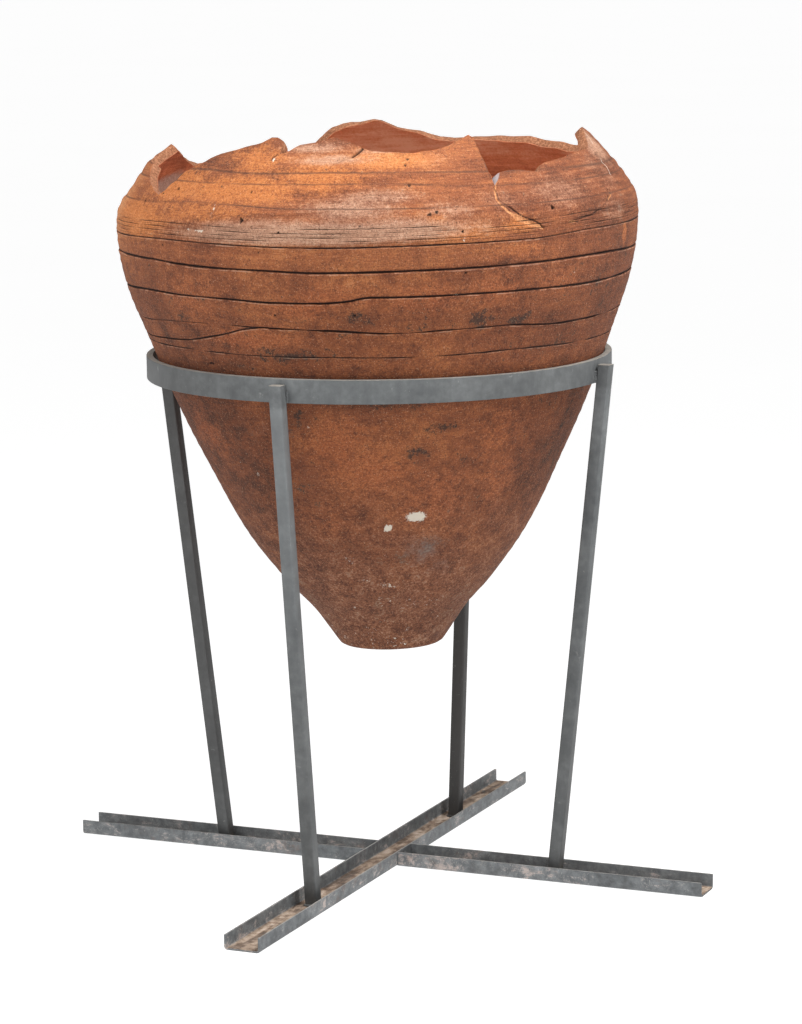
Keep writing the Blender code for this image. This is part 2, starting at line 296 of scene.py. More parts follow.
# Where the inner edge of the break lies further round or lower than square:
# (azimuth, half width, degrees, metres)
breakSlants = (
    (-37.5, 2.4, -3.0, -0.006), (-92.0, 1.6, 0.6, -0.003), (-26.0, 2.5, -0.8, 0.0), (6.0, 6.0, -0.7, 0.0),
    (110.0, 14.0, 0.0, 0.0125), (86.0, 9.0, 0.0, 0.007),
)

# Incised rings as (azimuth, height in millimetres), each closed smoothly round the back
ringLines = {
    "first": ((-119, 555), (-108, 553.5), (-97, 552), (-81, 551), (-62, 548), (-48, 547), (-35, 548),
              (-14, 544), (60, 541), (150, 548)),
    "second": ((-139, 596), (-118.5, 603), (-107, 604), (-93.7, 601), (-79, 597), (-62, 589), (-51, 590.6),
               (-38, 591), (-20, 583), (8, 585), (70, 588), (150, 594)),
    "third": ((-146.6, 648), (-128, 652), (-112.5, 650), (-100.5, 648), (-91, 644), (-80, 643), (-73.8, 645),
              (-68.9, 651), (-62, 650), (-42, 649), (-29, 648), (-15, 646), (11, 648), (80, 642), (150, 645)),
    "fourth": ((-146, 707.4), (-124.7, 707), (-113.5, 703), (-104, 700), (-92, 697.7), (-78, 693), (-62, 693),
               (-47, 692.5), (-32.6, 693), (-14.7, 694), (15.3, 689), (80, 695), (150, 704)),
    "fifth": ((-146.7, 739.7), (-119.5, 743), (-103.3, 740), (-87.4, 736), (-74, 734), (-62, 733.7),
              (-33, 733), (-15.5, 737.7), (14.4, 736.3), (80, 737), (150, 739)),
}
branchLine = ((-144, 564), (-129, 567.6), (-119, 570.5), (-109, 581), (-104, 588), (-98, 598), (-93, 601))
branchEnds = (-190.0, -160.0, -98.0, -92.5)  # fades in, full from, full to, joins the second ring
cutSizes = {  # depth and half width in millimetres
    "first": (0.9, 0.7), "branch": (1.9, 1.15), "second": (1.9, 1.0), "third": (2.3, 1.25),
    "fourth": (2.9, 1.55), "fifth": (1.3, 0.9),
}
combSize = (0.8, 0.45)
combLines = (746.5, 752.5, 759.0, 766.0)  # fine combed lines above the fifth ring
shoulderLines = (  # faint turned lines: (azimuth, millimetres)
    ((-150, 800), (-128, 801), (-110, 806), (-85, 797), (-61, 794), (-23, 789), (3, 790), (60, 792)),
    ((-150, 838), (-97, 836), (-77, 835), (-61, 832), (-45, 823), (-27, 818), (5, 815), (60, 818)),
    ((-150, 857), (-112, 856), (-97, 851), (-80, 852), (-62, 849), (-45, 846), (-20, 842), (5, 840),
     (60, 842)),
)
bandLevels = (796.0, 830.0, 850.0)  # what the three lines count as in the band coordinate
bandDrops = (0.9, 1.1, 1.3)  # their depths in millimetres
bandWidths = (0.0022, 0.0026, 0.0030)  # their dark lines in metres

# Pores and holes: (azimuth, height mm, half width mm, half height mm, depth mm)
pores = (
    (-118.2, 824, 3.0, 2.6, 3.0), (-130.0, 801, 2.6, 2.2, 1.8), (-123.4, 815, 2.0, 1.8, 1.5),
    (-96.1, 779, 3.6, 5.2, 5.0), (-95.5, 823, 2.2, 2.0, 2.5), (-87.3, 760, 2.2, 2.0, 2.5),
    (-58.5, 869, 2.6, 2.2, 2.5), (-59.3, 860, 2.0, 2.0, 2.0), (-59.0, 829, 2.9, 2.6, 3.0),
    (-55.4, 783, 3.4, 2.4, 3.0), (-53.9, 786, 2.8, 2.6, 3.0), (-48.7, 753, 2.2, 2.4, 2.4),
    (-26.3, 780, 3.6, 3.4, 5.0), (-4.4, 796, 2.4, 2.4, 2.4), (-6.4, 785, 1.8, 1.8, 1.6),
    (-119, 733, 2.0, 1.8, 2.0), (-92, 727, 1.8, 1.6, 1.6), (-90, 622.5, 2.4, 2.0, 2.2),
    (-72, 622, 2.8, 2.2, 2.6), (-48, 685.5, 2.2, 1.8, 2.2), (-112, 533, 7.0, 2.2, 3.0),
    (-70.1, 769, 1.6, 1.6, 1.4), (95, 770, 3.0, 3.0, 3.0), (150, 640, 2.8, 2.4, 2.6),
)
# Cracks and the spalled edge of the loose sherd, as (azimuth, height mm)
cracks = (
    {"line": ((-69.3, 889), (-70.5, 882), (-71.3, 878), (-72.1, 875)), "width": 1.7, "depth": 4.5},
    {"line": ((-72.1, 875), (-74.6, 869), (-76.8, 863), (-77.8, 858)), "width": 0.8, "depth": 0.8},
    {"line": ((-39.6, 816), (-39.4, 809), (-39.3, 799), (-38.6, 793), (-37.5, 787)),
     "width": 0.9, "depth": 1.0},
    {"line": ((-37.5, 787), (-35.9, 777), (-34.6, 770), (-33.2, 766), (-31.7, 761), (-30.5, 756),
              (-29.6, 749)),
     "width": 1.0, "depth": 2.2},
    {"line": ((-22.0, 754), (-18.4, 757), (-14.4, 760), (-12.6, 765)), "width": 1.0, "depth": 1.7},
    {"line": ((-12.6, 765), (-10.2, 769), (-7.2, 779), (-4.6, 787), (-2.9, 798)), "width": 0.9, "depth": 1.1},
    {"line": ((-92.0, 880), (-92.9, 876), (-93.2, 872)), "width": 1.2, "depth": 2.5},
)
spalls = (
    {"line": ((-37.2, 836), (-38.4, 826), (-39.7, 812), (-39.9, 800), (-39.2, 790)),
     "width": 1.7, "depth": 0.7},
    {"line": ((-39.2, 790), (-38.0, 780), (-36.4, 771)), "width": 2.6, "depth": 1.0},
    {"line": ((-36.4, 771), (-34.6, 764), (-32.6, 757)), "width": 5.6, "depth": 1.7},
    {"line": ((-32.6, 757), (-29.8, 749)), "width": 3.4, "depth": 1.2},
    {"line": ((-22.0, 754), (-20.5, 754)), "width": 2.4, "depth": 0.8},
    {"line": ((-4.6, 787), (-6.4, 781)), "width": 1.8, "depth": 0.6},
)

# Unevenness of the wall: (azimuth, height mm, half width mm, half height mm, depth mm), minus for a bulge
dents = (
    (-158, 815, 110, 34, 3.0), (-158, 660, 130, 110, -2.2), (-40, 330, 150, 70, 1.0),
    (20, 640, 90, 60, -0.6), (100, 560, 160, 90, 1.5), (60, 800, 120, 40, 1.5),
)
# Chips off the foot, in the same way
footChips = (
    (-122, 9, 10, 9, 3.0), (-108, 4, 16, 6, 2.5), (-20, 6, 26, 9, 3.0), (-3, 8, 12, 12, 4.0),
    (-88, 3, 9, 5, 2.4), (-66, 4, 11, 6, 2.2), (-47, 3, 8, 5, 2.4), (150, 6, 20, 8, 3.0),
)
# Listed marks: (azimuth, height mm, half width mm, half height mm, strength)
smudges = (
    (-71, 612, 34, 16, 1.0), (-117, 612, 22, 12, 0.7), (-87, 554, 60, 14, 0.9), (-102, 533, 34, 10, 0.9),
    (-110, 644, 36, 14, 0.4), (-45, 605, 46, 14, 0.9), (-58, 629, 24, 18, 0.6), (-34, 602, 26, 14, 0.9),
    (-10, 643, 26, 24, 0.7), (-109, 417, 18, 11, 1.0), (-112, 370, 12, 20, 0.7), (-56, 375, 20, 16, 1.0),
    (-50, 421, 30, 14, 0.9), (-42, 358, 14, 12, 0.7), (-35, 286, 14, 30, 0.6), (-59, 376, 22, 10, 0.6),
    (-50, 207, 46, 14, 0.8), (-62, 185, 60, 16, 0.7), (-81, 206, 46, 22, 0.5), (-4, 414, 10, 90, 0.9),
    (4, 330, 12, 90, 0.8), (-16, 447, 40, 24, 0.6), (-89, 442, 40, 22, 0.7), (-66, 470, 90, 16, 0.8),
    (-20, 560, 60, 30, 0.6), (-125, 690, 30, 30, 0.5), (0, 690, 40, 60, 0.5), (-6, 600, 40, 50, 0.5),
    (-70, 90, 60, 60, 0.5), (-20, 70, 50, 60, 0.6), (-120, 90, 40, 60, 0.6), (-92, 300, 30, 60, 0.4),
    (60, 600, 120, 60, 0.5), (120, 480, 120, 90, 0.5), (170, 640, 90, 60, 0.5), (90, 250, 120, 80, 0.5),
    (30, 760, 60, 30, 0.5), (110, 700, 80, 30, 0.5), (-60, 605, 200, 30, 0.28), (-110, 590, 120, 50, 0.22),
    (-14, 640, 120, 60, 0.35), (8, 330, 26, 120, 0.5), (-5, 770, 80, 30, 0.3), (-90, 495, 200, 12, 0.6),
)
glows = (
    (-84, 633, 60, 16, 0.8), (-98, 582, 80, 18, 0.9), (-75, 655, 90, 22, 0.6), (-57, 645, 60, 26, 0.7),
    (-41, 654, 60, 30, 0.5), (-36, 717, 60, 16, 0.5), (1.2, 718, 9, 20, 1.3), (-120, 832, 70, 34, 1.0),
    (-99, 826, 110, 26, 1.0), (-80, 845, 80, 34, 0.8), (-64, 868, 70, 18, 1.0), (-108, 790, 120, 22, 0.6),
    (-97, 872, 60, 30, 0.7), (-128, 405, 60, 50, 0.6), (-81, 407, 50, 44, 0.8), (-72, 352, 70, 50, 0.7),
    (-87, 259, 50, 50, 0.4), (-52, 292, 70, 60, 0.5), (-33, 407, 40, 50, 0.5), (-29, 315, 40, 60, 0.5),
    (-49, 750, 70, 14, 0.9), (-54, 772, 16, 10, 1.0), (-36, 757, 30, 12, 0.9), (150, 840, 160, 40, 0.7),
    (80, 830, 160, 40, 0.5), (-112, 640, 60, 50, 0.5), (-24, 655, 60, 26, 0.5), (-132, 772, 90, 30, 1.1),
)
wallTonesAndPaintedLight = (  # broad lighter and darker parts of the wall, the strength added to the clay's tone; partly the clay's own tone and partly painted light and shade, such as the lighter left edge and the darker right edge and lower body
    (-80, 874, 90, 14, 0.27), (-66, 868, 90, 14, 0.22), (-120, 850, 60, 30, -0.04),
    (-100, 872, 60, 24, -0.06), (-120, 822, 90, 26, 0.08), (-98, 815, 80, 24, 0.07),
    (-148, 780, 80, 70, 0.36), (-75, 756, 240, 16, 0.20), (-128, 767, 60, 18, 0.16),
    (-40, 800, 90, 50, 0.01), (-12, 800, 110, 60, -0.05), (0, 750, 120, 60, -0.03),
    (10, 850, 60, 60, -0.10), (-80, 720, 260, 26, 0.09), (-70, 670, 120, 24, 0.08),
    (-5, 680, 120, 60, -0.02), (-128, 690, 90, 40, 0.06), (-130, 555, 160, 60, -0.04),
    (-126, 440, 90, 70, -0.11), (-20, 560, 120, 40, -0.03), (-80, 490, 220, 22, -0.11),
    (-108, 320, 50, 120, -0.11), (-2, 400, 70, 160, -0.06), (-10, 300, 60, 80, -0.12),
    (-140, 330, 70, 160, -0.10), (-60, 560, 160, 40, 0.04), (-70, 400, 120, 70, 0.03),
)
# inside the wall: painted shade as a darker band just under the rim, and painted light making the far inner
# wall lighter
innerPaintedLightAndShade = ((172, 855, 90, 34, -0.14), (110, 850, 180, 50, 0.17), (60, 840, 160, 40, 0.08))
innerAshes = ((175, 800, 80, 19, 1.2), (168, 814, 30, 12, 0.7))  # grey deposit seen through the left notch
ashes = (
    (-52, 198, 40, 34, 0.55), (-43, 165, 26, 20, 0.45), (-58, 219, 20, 14, 0.4), (-100, 420, 60, 30, 0.25),
)
blooms = (
    (-72, 795, 90, 24, 0.8), (-51, 789, 60, 26, 0.6), (-66, 812, 80, 16, 0.8), (-39, 799, 60, 26, 0.5),
    (-22, 806, 90, 44, 0.55), (-2, 827, 70, 60, 0.45), (-5, 763, 60, 30, 0.5), (-83, 890, 60, 14, 0.8),
    (-66, 882, 60, 8, 0.7), (-50, 866, 50, 30, 0.35), (8, 866, 55, 46, 1.0), (-90, 768, 160, 14, 0.9),
    (-60, 768, 120, 14, 0.9), (-78, 757, 230, 16, 1.6), (-77, 871, 70, 12, 0.9), (40, 820, 160, 40, 0.3),
    (120, 790, 200, 30, 0.5),
)
limes = (  # white stains, scratches and spots of plaster
    (-103.9, 797, 4, 8, 0.5), (-104.0, 785, 5, 7, 0.5), (-104.4, 771, 4, 6, 0.4), (-106.6, 760, 14, 3, 0.6),
    (-110.2, 762, 5, 2, 0.5), (-56.4, 262, 13.5, 7.5, 1.6), (-54.6, 258, 8, 5, 1.6),
    (-67, 190, 14, 8, 0.35), (-78, 143, 16, 9, 0.4), (-78, 6, 12, 3, 0.6), (-58, 14, 14, 3, 0.6),
    (-29, 25, 8, 3, 0.6), (-110, 17, 8, 3, 0.5), (-45, 9, 16, 3, 0.5), (-95, 7, 14, 3, 0.5),
    (-83, 183, 16, 10, 0.4), (-69, 132, 16, 8, 0.45), (-61, 100, 20, 8, 0.4), (-116, 353, 12, 2, 0.4),
    (-110, 335, 6, 2, 0.5), (-78, 365, 12, 2, 0.35), (-87, 428, 7, 3, 0.4), (-92.6, 872.5, 3, 2.5, 0.8),
    (-48.3, 739, 2.5, 5, 0.7), (-50, 650, 10, 3, 0.3), (-20, 668, 20, 3, 0.3),
)
scratches = (  # thin pale scratches as (azimuth, height mm)
    ((11.3, 882), (10.4, 875), (8.9, 865)), ((4.0, 842), (3.4, 830), (2.9, 816)),
)
plasterRing = {"at": (-66.3, 245), "radius": 5.4, "width": 2.6}


def smoothCurve(stations, x):  # smooth, and never beyond the stations' own values
    places, values = (np.array(column, float) for column in zip(*stations))
    slopes = np.diff(values) / np.diff(places)
    product = slopes[:-1] * slopes[1:]
    total = np.where(np.abs(slopes[:-1] + slopes[1:]) < 1e-12, 1.0, slopes[:-1] + slopes[1:])
    tangents = np.concatenate([slopes[:1], np.where(product > 0, 2.0 * product / total, 0.0), slopes[-1:]])
    index = np.clip(np.searchsorted(places, x) - 1, 0, len(places) - 2)
    span = places[index + 1] - places[index]
    t = (x - places[index]) / span
    start = values[index] * (1 + 2 * t) + span * tangents[index] * t
    end = values[index + 1] * (3 - 2 * t) - span * tangents[index + 1] * (1 - t)
    return start * (1 - t) ** 2 + end * t ** 2


def closedCurve(stations, azimuth):  # the same, once round the jar
    stations = tuple(stations)
    before = tuple((a - 360.0, h) for a, h in stations)
    after = tuple((a + 360.0, h) for a, h in stations)
    return smoothCurve(before + stations + after, azimuth)


def wallRadius(height):
    lower = smoothCurve(bodyCurve, np.clip(height, 0.0, jar["bellyHeight"]) / jar["bellyHeight"])
    upper = smoothCurve(shoulderCurve, np.maximum(height - jar["bellyHeight"], 0.0)
                        / (jar["topHeight"] - jar["bellyHeight"]))
    body = jar["footRadius"] + (jar["bellyRadius"] - jar["footRadius"]) * np.maximum(lower, 0.0)
    return np.where(height <= jar["bellyHeight"], body,
                    jar["bellyRadius"] - (jar["bellyRadius"] - jar["topRadius"]) * upper)


def wallSlope(height):  # how fast the radius grows with height
    step = 0.004
    low = np.maximum(height - step, 0.0)
    return (wallRadius(height + step) - wallRadius(low)) / (height + step - low)


def innerPoint(height):
    share = height / jar["topHeight"]
    thickness = jar["lowerWall"] + (jar["rimWall"] - jar["lowerWall"]) * share
    slope = wallSlope(height)
    length = np.hypot(1.0, slope)
    return wallRadius(height) - thickness / length, height + thickness * slope / length


def softStep(low, high, x):
    t = np.clip((x - low) / (high - low), 0.0, 1.0)
    return t * t * (3.0 - 2.0 * t)


def jarPlacement():
    lean = math.radians(jar["leanDeg"])
    towards = math.radians(jar["leanTowards"])
    seat = jar["seatHeight"]
    offset = seat * math.sin(lean) + float(wallRadius(seat)) * math.tan(lean) * float(wallSlope(seat))
    direction = Vector((math.cos(towards), math.sin(towards), 0.0))
    foot = direction * -offset + Vector((*jar["offset"], jar["ringTop"] - seat))
    return Matrix.Translation(foot) @ Matrix.Rotation(lean, 4, Vector((0.0, 0.0, 1.0)).cross(direction))


def breakColumns():  # azimuth at the belly, azimuth at the break and height of the break for every column
    corners = np.array(breakCorners + ((breakCorners[0][0] + 360.0, breakCorners[0][1]),), float)
    azimuth, height = corners[:, 0], corners[:, 1] / 1000.0
    radius = wallRadius(height)
    middle = (radius[1:] + radius[:-1]) / 2
    sideways = middle * np.diff(np.radians(azimuth))
    steps = np.sqrt(sideways ** 2 + np.diff(height) ** 2 + np.diff(radius) ** 2)
    atBack = (azimuth[1:] + azimuth[:-1]) / 2 > jar["backFrom"]
    along = np.concatenate([[0.0], np.cumsum(steps * np.where(atBack, jar["backShare"], 1.0))])
    count = jar["columns"]
    stations = np.arange(count) * along[-1] / count
    for place in along[:-1]:
        stations[int(round(place / along[-1] * count)) % count] = place
    topAzimuth = np.interp(stations, along, azimuth)
    topHeight = np.interp(stations, along, height)
    even = azimuth[0] + 360.0 * np.arange(count) / count
    reach = np.arange(count)
    reach = np.minimum(reach, count - reach)
    weights = np.exp(-0.5 * (reach / jar["cornerSpread"]) ** 2)
    weights /= weights.sum()
    shift = np.real(np.fft.ifft(np.fft.fft(topAzimuth - even) * np.fft.fft(weights)))
    chance = np.random.default_rng(jar["seed"])
    jitter = chance.normal(0.0, jar["edgeJitter"], count)
    spread = ((-2, 0.5), (-1, 0.9), (0, 1.0), (1, 0.9), (2, 0.5))
    jitter = sum(np.roll(jitter, step) * share for step, share in spread)
    topHeight = np.minimum(topHeight + jitter, jar["topHeight"] - 0.001)
    return even + shift, topAzimuth, topHeight


def branchShare(azimuth):  # how far the branch stands off the second ring
    start, full, leave, joined = branchEnds
    wrapped = np.where(azimuth > joined, azimuth - 360.0, azimuth)
    return softStep(start, full, wrapped) * (1.0 - softStep(leave, joined, wrapped))


def branchHeight(azimuth):  # the branch itself, which runs up into the second ring
    wrapped = (azimuth + 200.0) % 360.0 - 200.0
    joined = ((branchLine[0][0] - 60.0, branchLine[0][1] + 6.0),) + branchLine + ((170.0, 601.0),)
    return wrapped, smoothCurve(joined, np.clip(wrapped, joined[0][0], joined[-1][0])) / 1000.0


def ringHeights(azimuth):  # heights of the incised rings in metres, lowest first
    return {name: closedCurve(line, azimuth) / 1000.0 for name, line in ringLines.items()}


def combHeights(rings):  # the combed lines above the fifth ring, which rise and fall with it
    shift = rings["fifth"] - jar["fifthLevel"]
    return [line / 1000.0 + shift * jar["combFollow"] for line in combLines]


def outerRows(azimuth):  # heights of the rows that follow the incised rings, from the bar up to the comb
    heights = ringHeights(azimuth)
    wrapped, branch = branchHeight(azimuth)
    close = heights["second"] - 0.009
    heights["branch"] = np.minimum(close + (branch - close) * branchShare(wrapped), close)
    around = np.array([-5.0, -3.2, -1.9, -0.9, 0.0, 0.9, 1.9, 3.2, 5.0]) / 1000.0
    few = np.array([-3.6, -2.0, -0.9, 0.0, 0.9, 2.0, 3.6]) / 1000.0
    start, end = jar["ringRows"]
    rows = [np.full_like(azimuth, start)]

    def fill(upTo, parts):
        last = rows[-1]
        for part in range(1, parts + 1):
            rows.append(last + (upTo - last) * part / (parts + 1))

    order = (("first", few, 9), ("branch", few, 3), ("second", few, 1), ("third", around, 7),
             ("fourth", around, 6), ("fifth", few, 4))
    for name, offsets, parts in order:
        middle = heights[name]
        fill(middle + offsets[0], parts)
        rows += [middle + offset for offset in offsets]
    for middle in combHeights(heights):
        rows += [middle - jar["combRows"], middle, middle + jar["combRows"]]
    rows.append(np.full_like(azimuth, end))
    rows = np.array(rows)
    for row in range(1, len(rows)):
        rows[row] = np.maximum(rows[row], rows[row - 1] + 0.0004)
    return np.minimum(rows, end + 0.0015 - 0.0001 * np.arange(len(rows))[::-1, None])


def jarRows():  # every loop as (radius, height, azimuth, side), from under the foot to the inner floor
    belly, top, edge = breakColumns()
    coarse = belly[::2]
    wall = []

    def add(radius, height, azimuth, side):
        full = np.zeros_like(azimuth)
        wall.append((radius + full, height + full, azimuth, side))

    for share in (0.35, 0.7):
        add(jar["footRadius"] * share, -jar["footDepth"], coarse[::2], 0.0)
    add(jar["footRadius"] - jar["footChamfer"], -jar["footDepth"], coarse, 0.0)
    add(jar["footRadius"] - 0.0018, -0.0022, coarse, 0.0)
    for height in np.linspace(*jar["footRows"]):
        add(wallRadius(height), height, coarse, 0.0)
    for height in outerRows(belly):
        add(wallRadius(height), height, belly, 0.0)
    base = wall[-1][1]
    for row in range(1, jar["shoulderRows"] + 1):
        t = row / jar["shoulderRows"]
        height = base + (edge - base) * t
        azimuth = belly + (top - belly) * t ** 1.3
        add(wallRadius(height), height, azimuth, 0.0)
    innerTop = top.copy()
    innerEdge = edge.copy()
    for middle, width, turn, drop in breakSlants:
        share = np.exp(-((top - middle) / width) ** 2)
        innerTop += turn * share
        innerEdge += drop * share
    chance = np.random.default_rng(jar["seed"] + 1)
    inRadius, inHeight = innerPoint(innerEdge)
    outRadius, outHeight = wall[-1][0], wall[-1][1]
    rough = chance.normal(0.0, jar["edgeRoughness"], (6, len(top)))
    rough = (rough + np.roll(rough, 1, 1) + np.roll(rough, -1, 1)) / 2.0
    for row, share in enumerate((0.1, 0.28, 0.5, 0.72, 0.9)):
        lift = rough[row] + jar["edgeCrown"] * math.sin(math.pi * share)
        add(outRadius + (inRadius - outRadius) * share, outHeight + (inHeight - outHeight) * share + lift,
            top + (innerTop - top) * share, 1.0)
    innerBase, innerRows = jar["innerRows"]
    for row in range(innerRows + 1):
        t = 1.0 - row / innerRows
        radius, height = innerPoint(innerBase + (innerEdge - innerBase) * t)
        add(radius, height, belly + (innerTop - belly) * t ** 1.3, 2.0)
    for share in np.linspace(*jar["floorRows"]):
        radius, height = innerPoint(jar["bellyHeight"] * share)
        add(radius, height, coarse, 2.0)
    add(0.045, jar["floorTop"] - 0.001, coarse[::2], 2.0)
    return wall


def buildJarMesh():
    rows = jarRows()
    mesh = bmesh.new()
    side = mesh.verts.layers.float.new("side")
    loops = []
    for radius, height, azimuth, tag in rows:
        angle = np.radians(azimuth)
        points = np.stack([radius * np.cos(angle), radius * np.sin(angle), height], 1)
        loop = []
        for point in points:
            vert = mesh.verts.new(point)
            vert[side] = tag
            loop.append(vert)
        loops.append(loop)
    for lower, upper in zip(loops, loops[1:]):
        stitch(mesh, lower, upper)
    under = mesh.verts.new((0.0, 0.0, -jar["footDepth"]))
    floor = mesh.verts.new((0.0, 0.0, jar["floorTop"]))
    floor[side] = 2.0
    for loop, middle, turn in ((loops[0], under, -1), (loops[-1], floor, 1)):
        for index, vert in enumerate(loop):
            following = loop[(index + 1) % len(loop)]
            mesh.faces.new((vert, following, middle)[::turn])
    bmesh.ops.recalc_face_normals(mesh, faces=mesh.faces)
    return mesh


def stitch(mesh, lower, upper):  # faces between two loops; one may have half as many points
    if len(lower) == len(upper):
        for index in range(len(lower)):
            after = (index + 1) % len(lower)
            mesh.faces.new((lower[index], lower[after], upper[after], upper[index]))
        return
    few, many = (lower, upper) if len(lower) < len(upper) else (upper, lower)
    for index in range(len(few)):
        after = (index + 1) % len(few)
        first, middle, last = many[2 * index], many[2 * index + 1], many[(2 * index + 2) % len(many)]
        three = ((few[index], middle, first), (few[index], few[after], middle), (few[after], last, middle))
        for corners in three:
            mesh.faces.new(corners if few is lower else corners[::-1])


def wallDistance(azimuth, height, atAzimuth, atHeight):  # offsets along the wall, in metres
    turn = np.radians((azimuth - atAzimuth + 180.0) % 360.0 - 180.0)
    slope = wallSlope(np.asarray(atHeight, float))
    return turn * wallRadius(np.asarray(atHeight, float)), (height - atHeight) * np.hypot(1.0, slope)


def lineDistance(azimuth, height, line):  # distance to a line drawn on the wall, in metres
    best = np.full(azimuth.shape, 1.0)
    for (a0, h0), (a1, h1) in zip(line, line[1:]):
        dx, dy = wallDistance(azimuth, height, a0, h0 / 1000.0)
        ex, ey = wallDistance(np.array(a1), np.array(h1 / 1000.0), a0, h0 / 1000.0)
        t = np.clip((dx * ex + dy * ey) / (ex * ex + ey * ey), 0.0, 1.0)
        best = np.minimum(best, np.hypot(dx - t * ex, dy - t * ey))
    return best


def refineJar(mesh):  # smaller faces where pores and cracks are cut
    side = mesh.verts.layers.float["side"]
    faces = [face for face in mesh.faces
             if len(face.verts) == 4 and all(vert[side] == 0.0 for vert in face.verts)]
    centres = np.array([face.calc_center_median() for face in faces])
    azimuth, height = np.degrees(np.arctan2(centres[:, 1], centres[:, 0])), centres[:, 2]
    chosen = np.zeros(len(faces), bool)
    margin = refineMargins["pore"]
    for poreAzimuth, poreHeight, halfWidth, halfHeight, _ in pores:
        dx, dy = wallDistance(azimuth, height, poreAzimuth, poreHeight / 1000.0)
        chosen |= (np.abs(dx) < halfWidth / 1000.0 + margin) & (np.abs(dy) < halfHeight / 1000.0 + margin)
    reaches = [(crack["line"], refineMargins["crack"]) for crack in cracks]
    reaches += [(spall["line"], spall["width"] / 1000.0 + refineMargins["spall"]) for spall in spalls]
    reaches += [(line, refineMargins["scratch"]) for line in scratches]
    for line, reach in reaches:
        chosen |= lineDistance(azimuth, height, line) < reach
    edges = {edge for face, take in zip(faces, chosen) if take for edge in face.edges}
    bmesh.ops.subdivide_edges(mesh, edges=list(edges), cuts=3, use_grid_fill=True)


def bandHeight(azimuth, height):  # height bent so that the faint shoulder lines come out level
    shifts = [closedCurve(line, azimuth) - level for line, level in zip(shoulderLines, bandLevels)]
    stations = [700.0] + list(bandLevels)
    bent = np.zeros(azimuth.shape)
    values = [np.zeros(azimuth.shape)] + shifts
    for (low, first), (high, second) in zip(zip(stations, values), zip(stations[1:], values[1:])):
        share = np.clip((height * 1000.0 - low) / (high - low), 0.0, 1.0)
        bent += (second - first) * share
    return height - bent / 1000.0


def ovals(marks, azimuth, height, fall):  # each mark as a soft oval of its own strength
    for markAzimuth, markHeight, halfWidth, halfHeight, strength in marks:
        dx, dy = wallDistance(azimuth, height, markAzimuth, markHeight / 1000.0)
        reach = (dx / halfWidth * 1000.0) ** 2 + (dy / halfHeight * 1000.0) ** 2
        yield strength * np.exp(-reach * fall)


def hollows(marks, azimuth, height):  # the depths in metres
    return (oval / 1000.0 for oval in ovals(marks, azimuth, height, 1.0))


def summed(marks, azimuth, height):
    return sum(ovals(marks, azimuth, height, 0.8))


def patches(marks, azimuth, height):
    return np.maximum.reduce(list(ovals(marks, azimuth, height, 0.8)))


def incise(azimuth, height):  # the lines' heights, how far the wall moves, and each point's nearest line
    move = np.zeros(azimuth.shape)
    away = np.full(azimuth.shape, 20.0)   # signed millimetres from the nearest incised line
    near = np.zeros(azimuth.shape)        # fades out where another line becomes the nearest
    size = np.zeros(azimuth.shape)
    rings = ringHeights(azimuth)
    wrapped, rings["branch"] = branchHeight(azimuth)
    chance = np.random.default_rng(jar["seed"] + 2)
    for index, level in enumerate(combHeights(rings)):
        rings["comb" + str(index)] = level
    for name, level in rings.items():
        depth, half = cutSizes.get(name, combSize)
        waves = sum(np.sin(np.radians(azimuth * turns + chance.uniform(0, 360))) for turns in (7, 17, 31))
        waves = waves / 3.0
        strength = 1.0 + (0.9 if name in ("first", "second") else 0.3) * waves
        reach = 5.5
        if name.startswith("comb"):
            strength, reach = 0.8 + 0.9 * waves, 2.6
        strength = np.clip(strength, 0.0, 1.5)
        if name == "branch":
            strength = strength * softStep(-190.0, -165.0, wrapped) * (wrapped < -92.6)
        if name == "second":
            beside = softStep(-96.0, -104.0, wrapped) * softStep(-175.0, -160.0, wrapped)
            strength = strength * (1.0 - 0.55 * beside)
        across = (height - level) * 1000.0
        groove = np.exp(-(across / half) ** 2) * strength
        ledge = np.exp(-((across + 2.2 * half) / (1.1 * half)) ** 2) * strength
        move += (-depth * groove + 0.22 * depth * ledge) / 1000.0
        closer = (np.abs(across) < np.abs(away)) & (strength > 0.05)
        away = np.where(closer, across, away)
        near = np.where(closer, np.clip(1.6 * (1.0 - np.abs(across) / reach), 0.0, 1.0), near)
        size = np.where(closer, half * strength, size)
    return rings, move, away, near, size


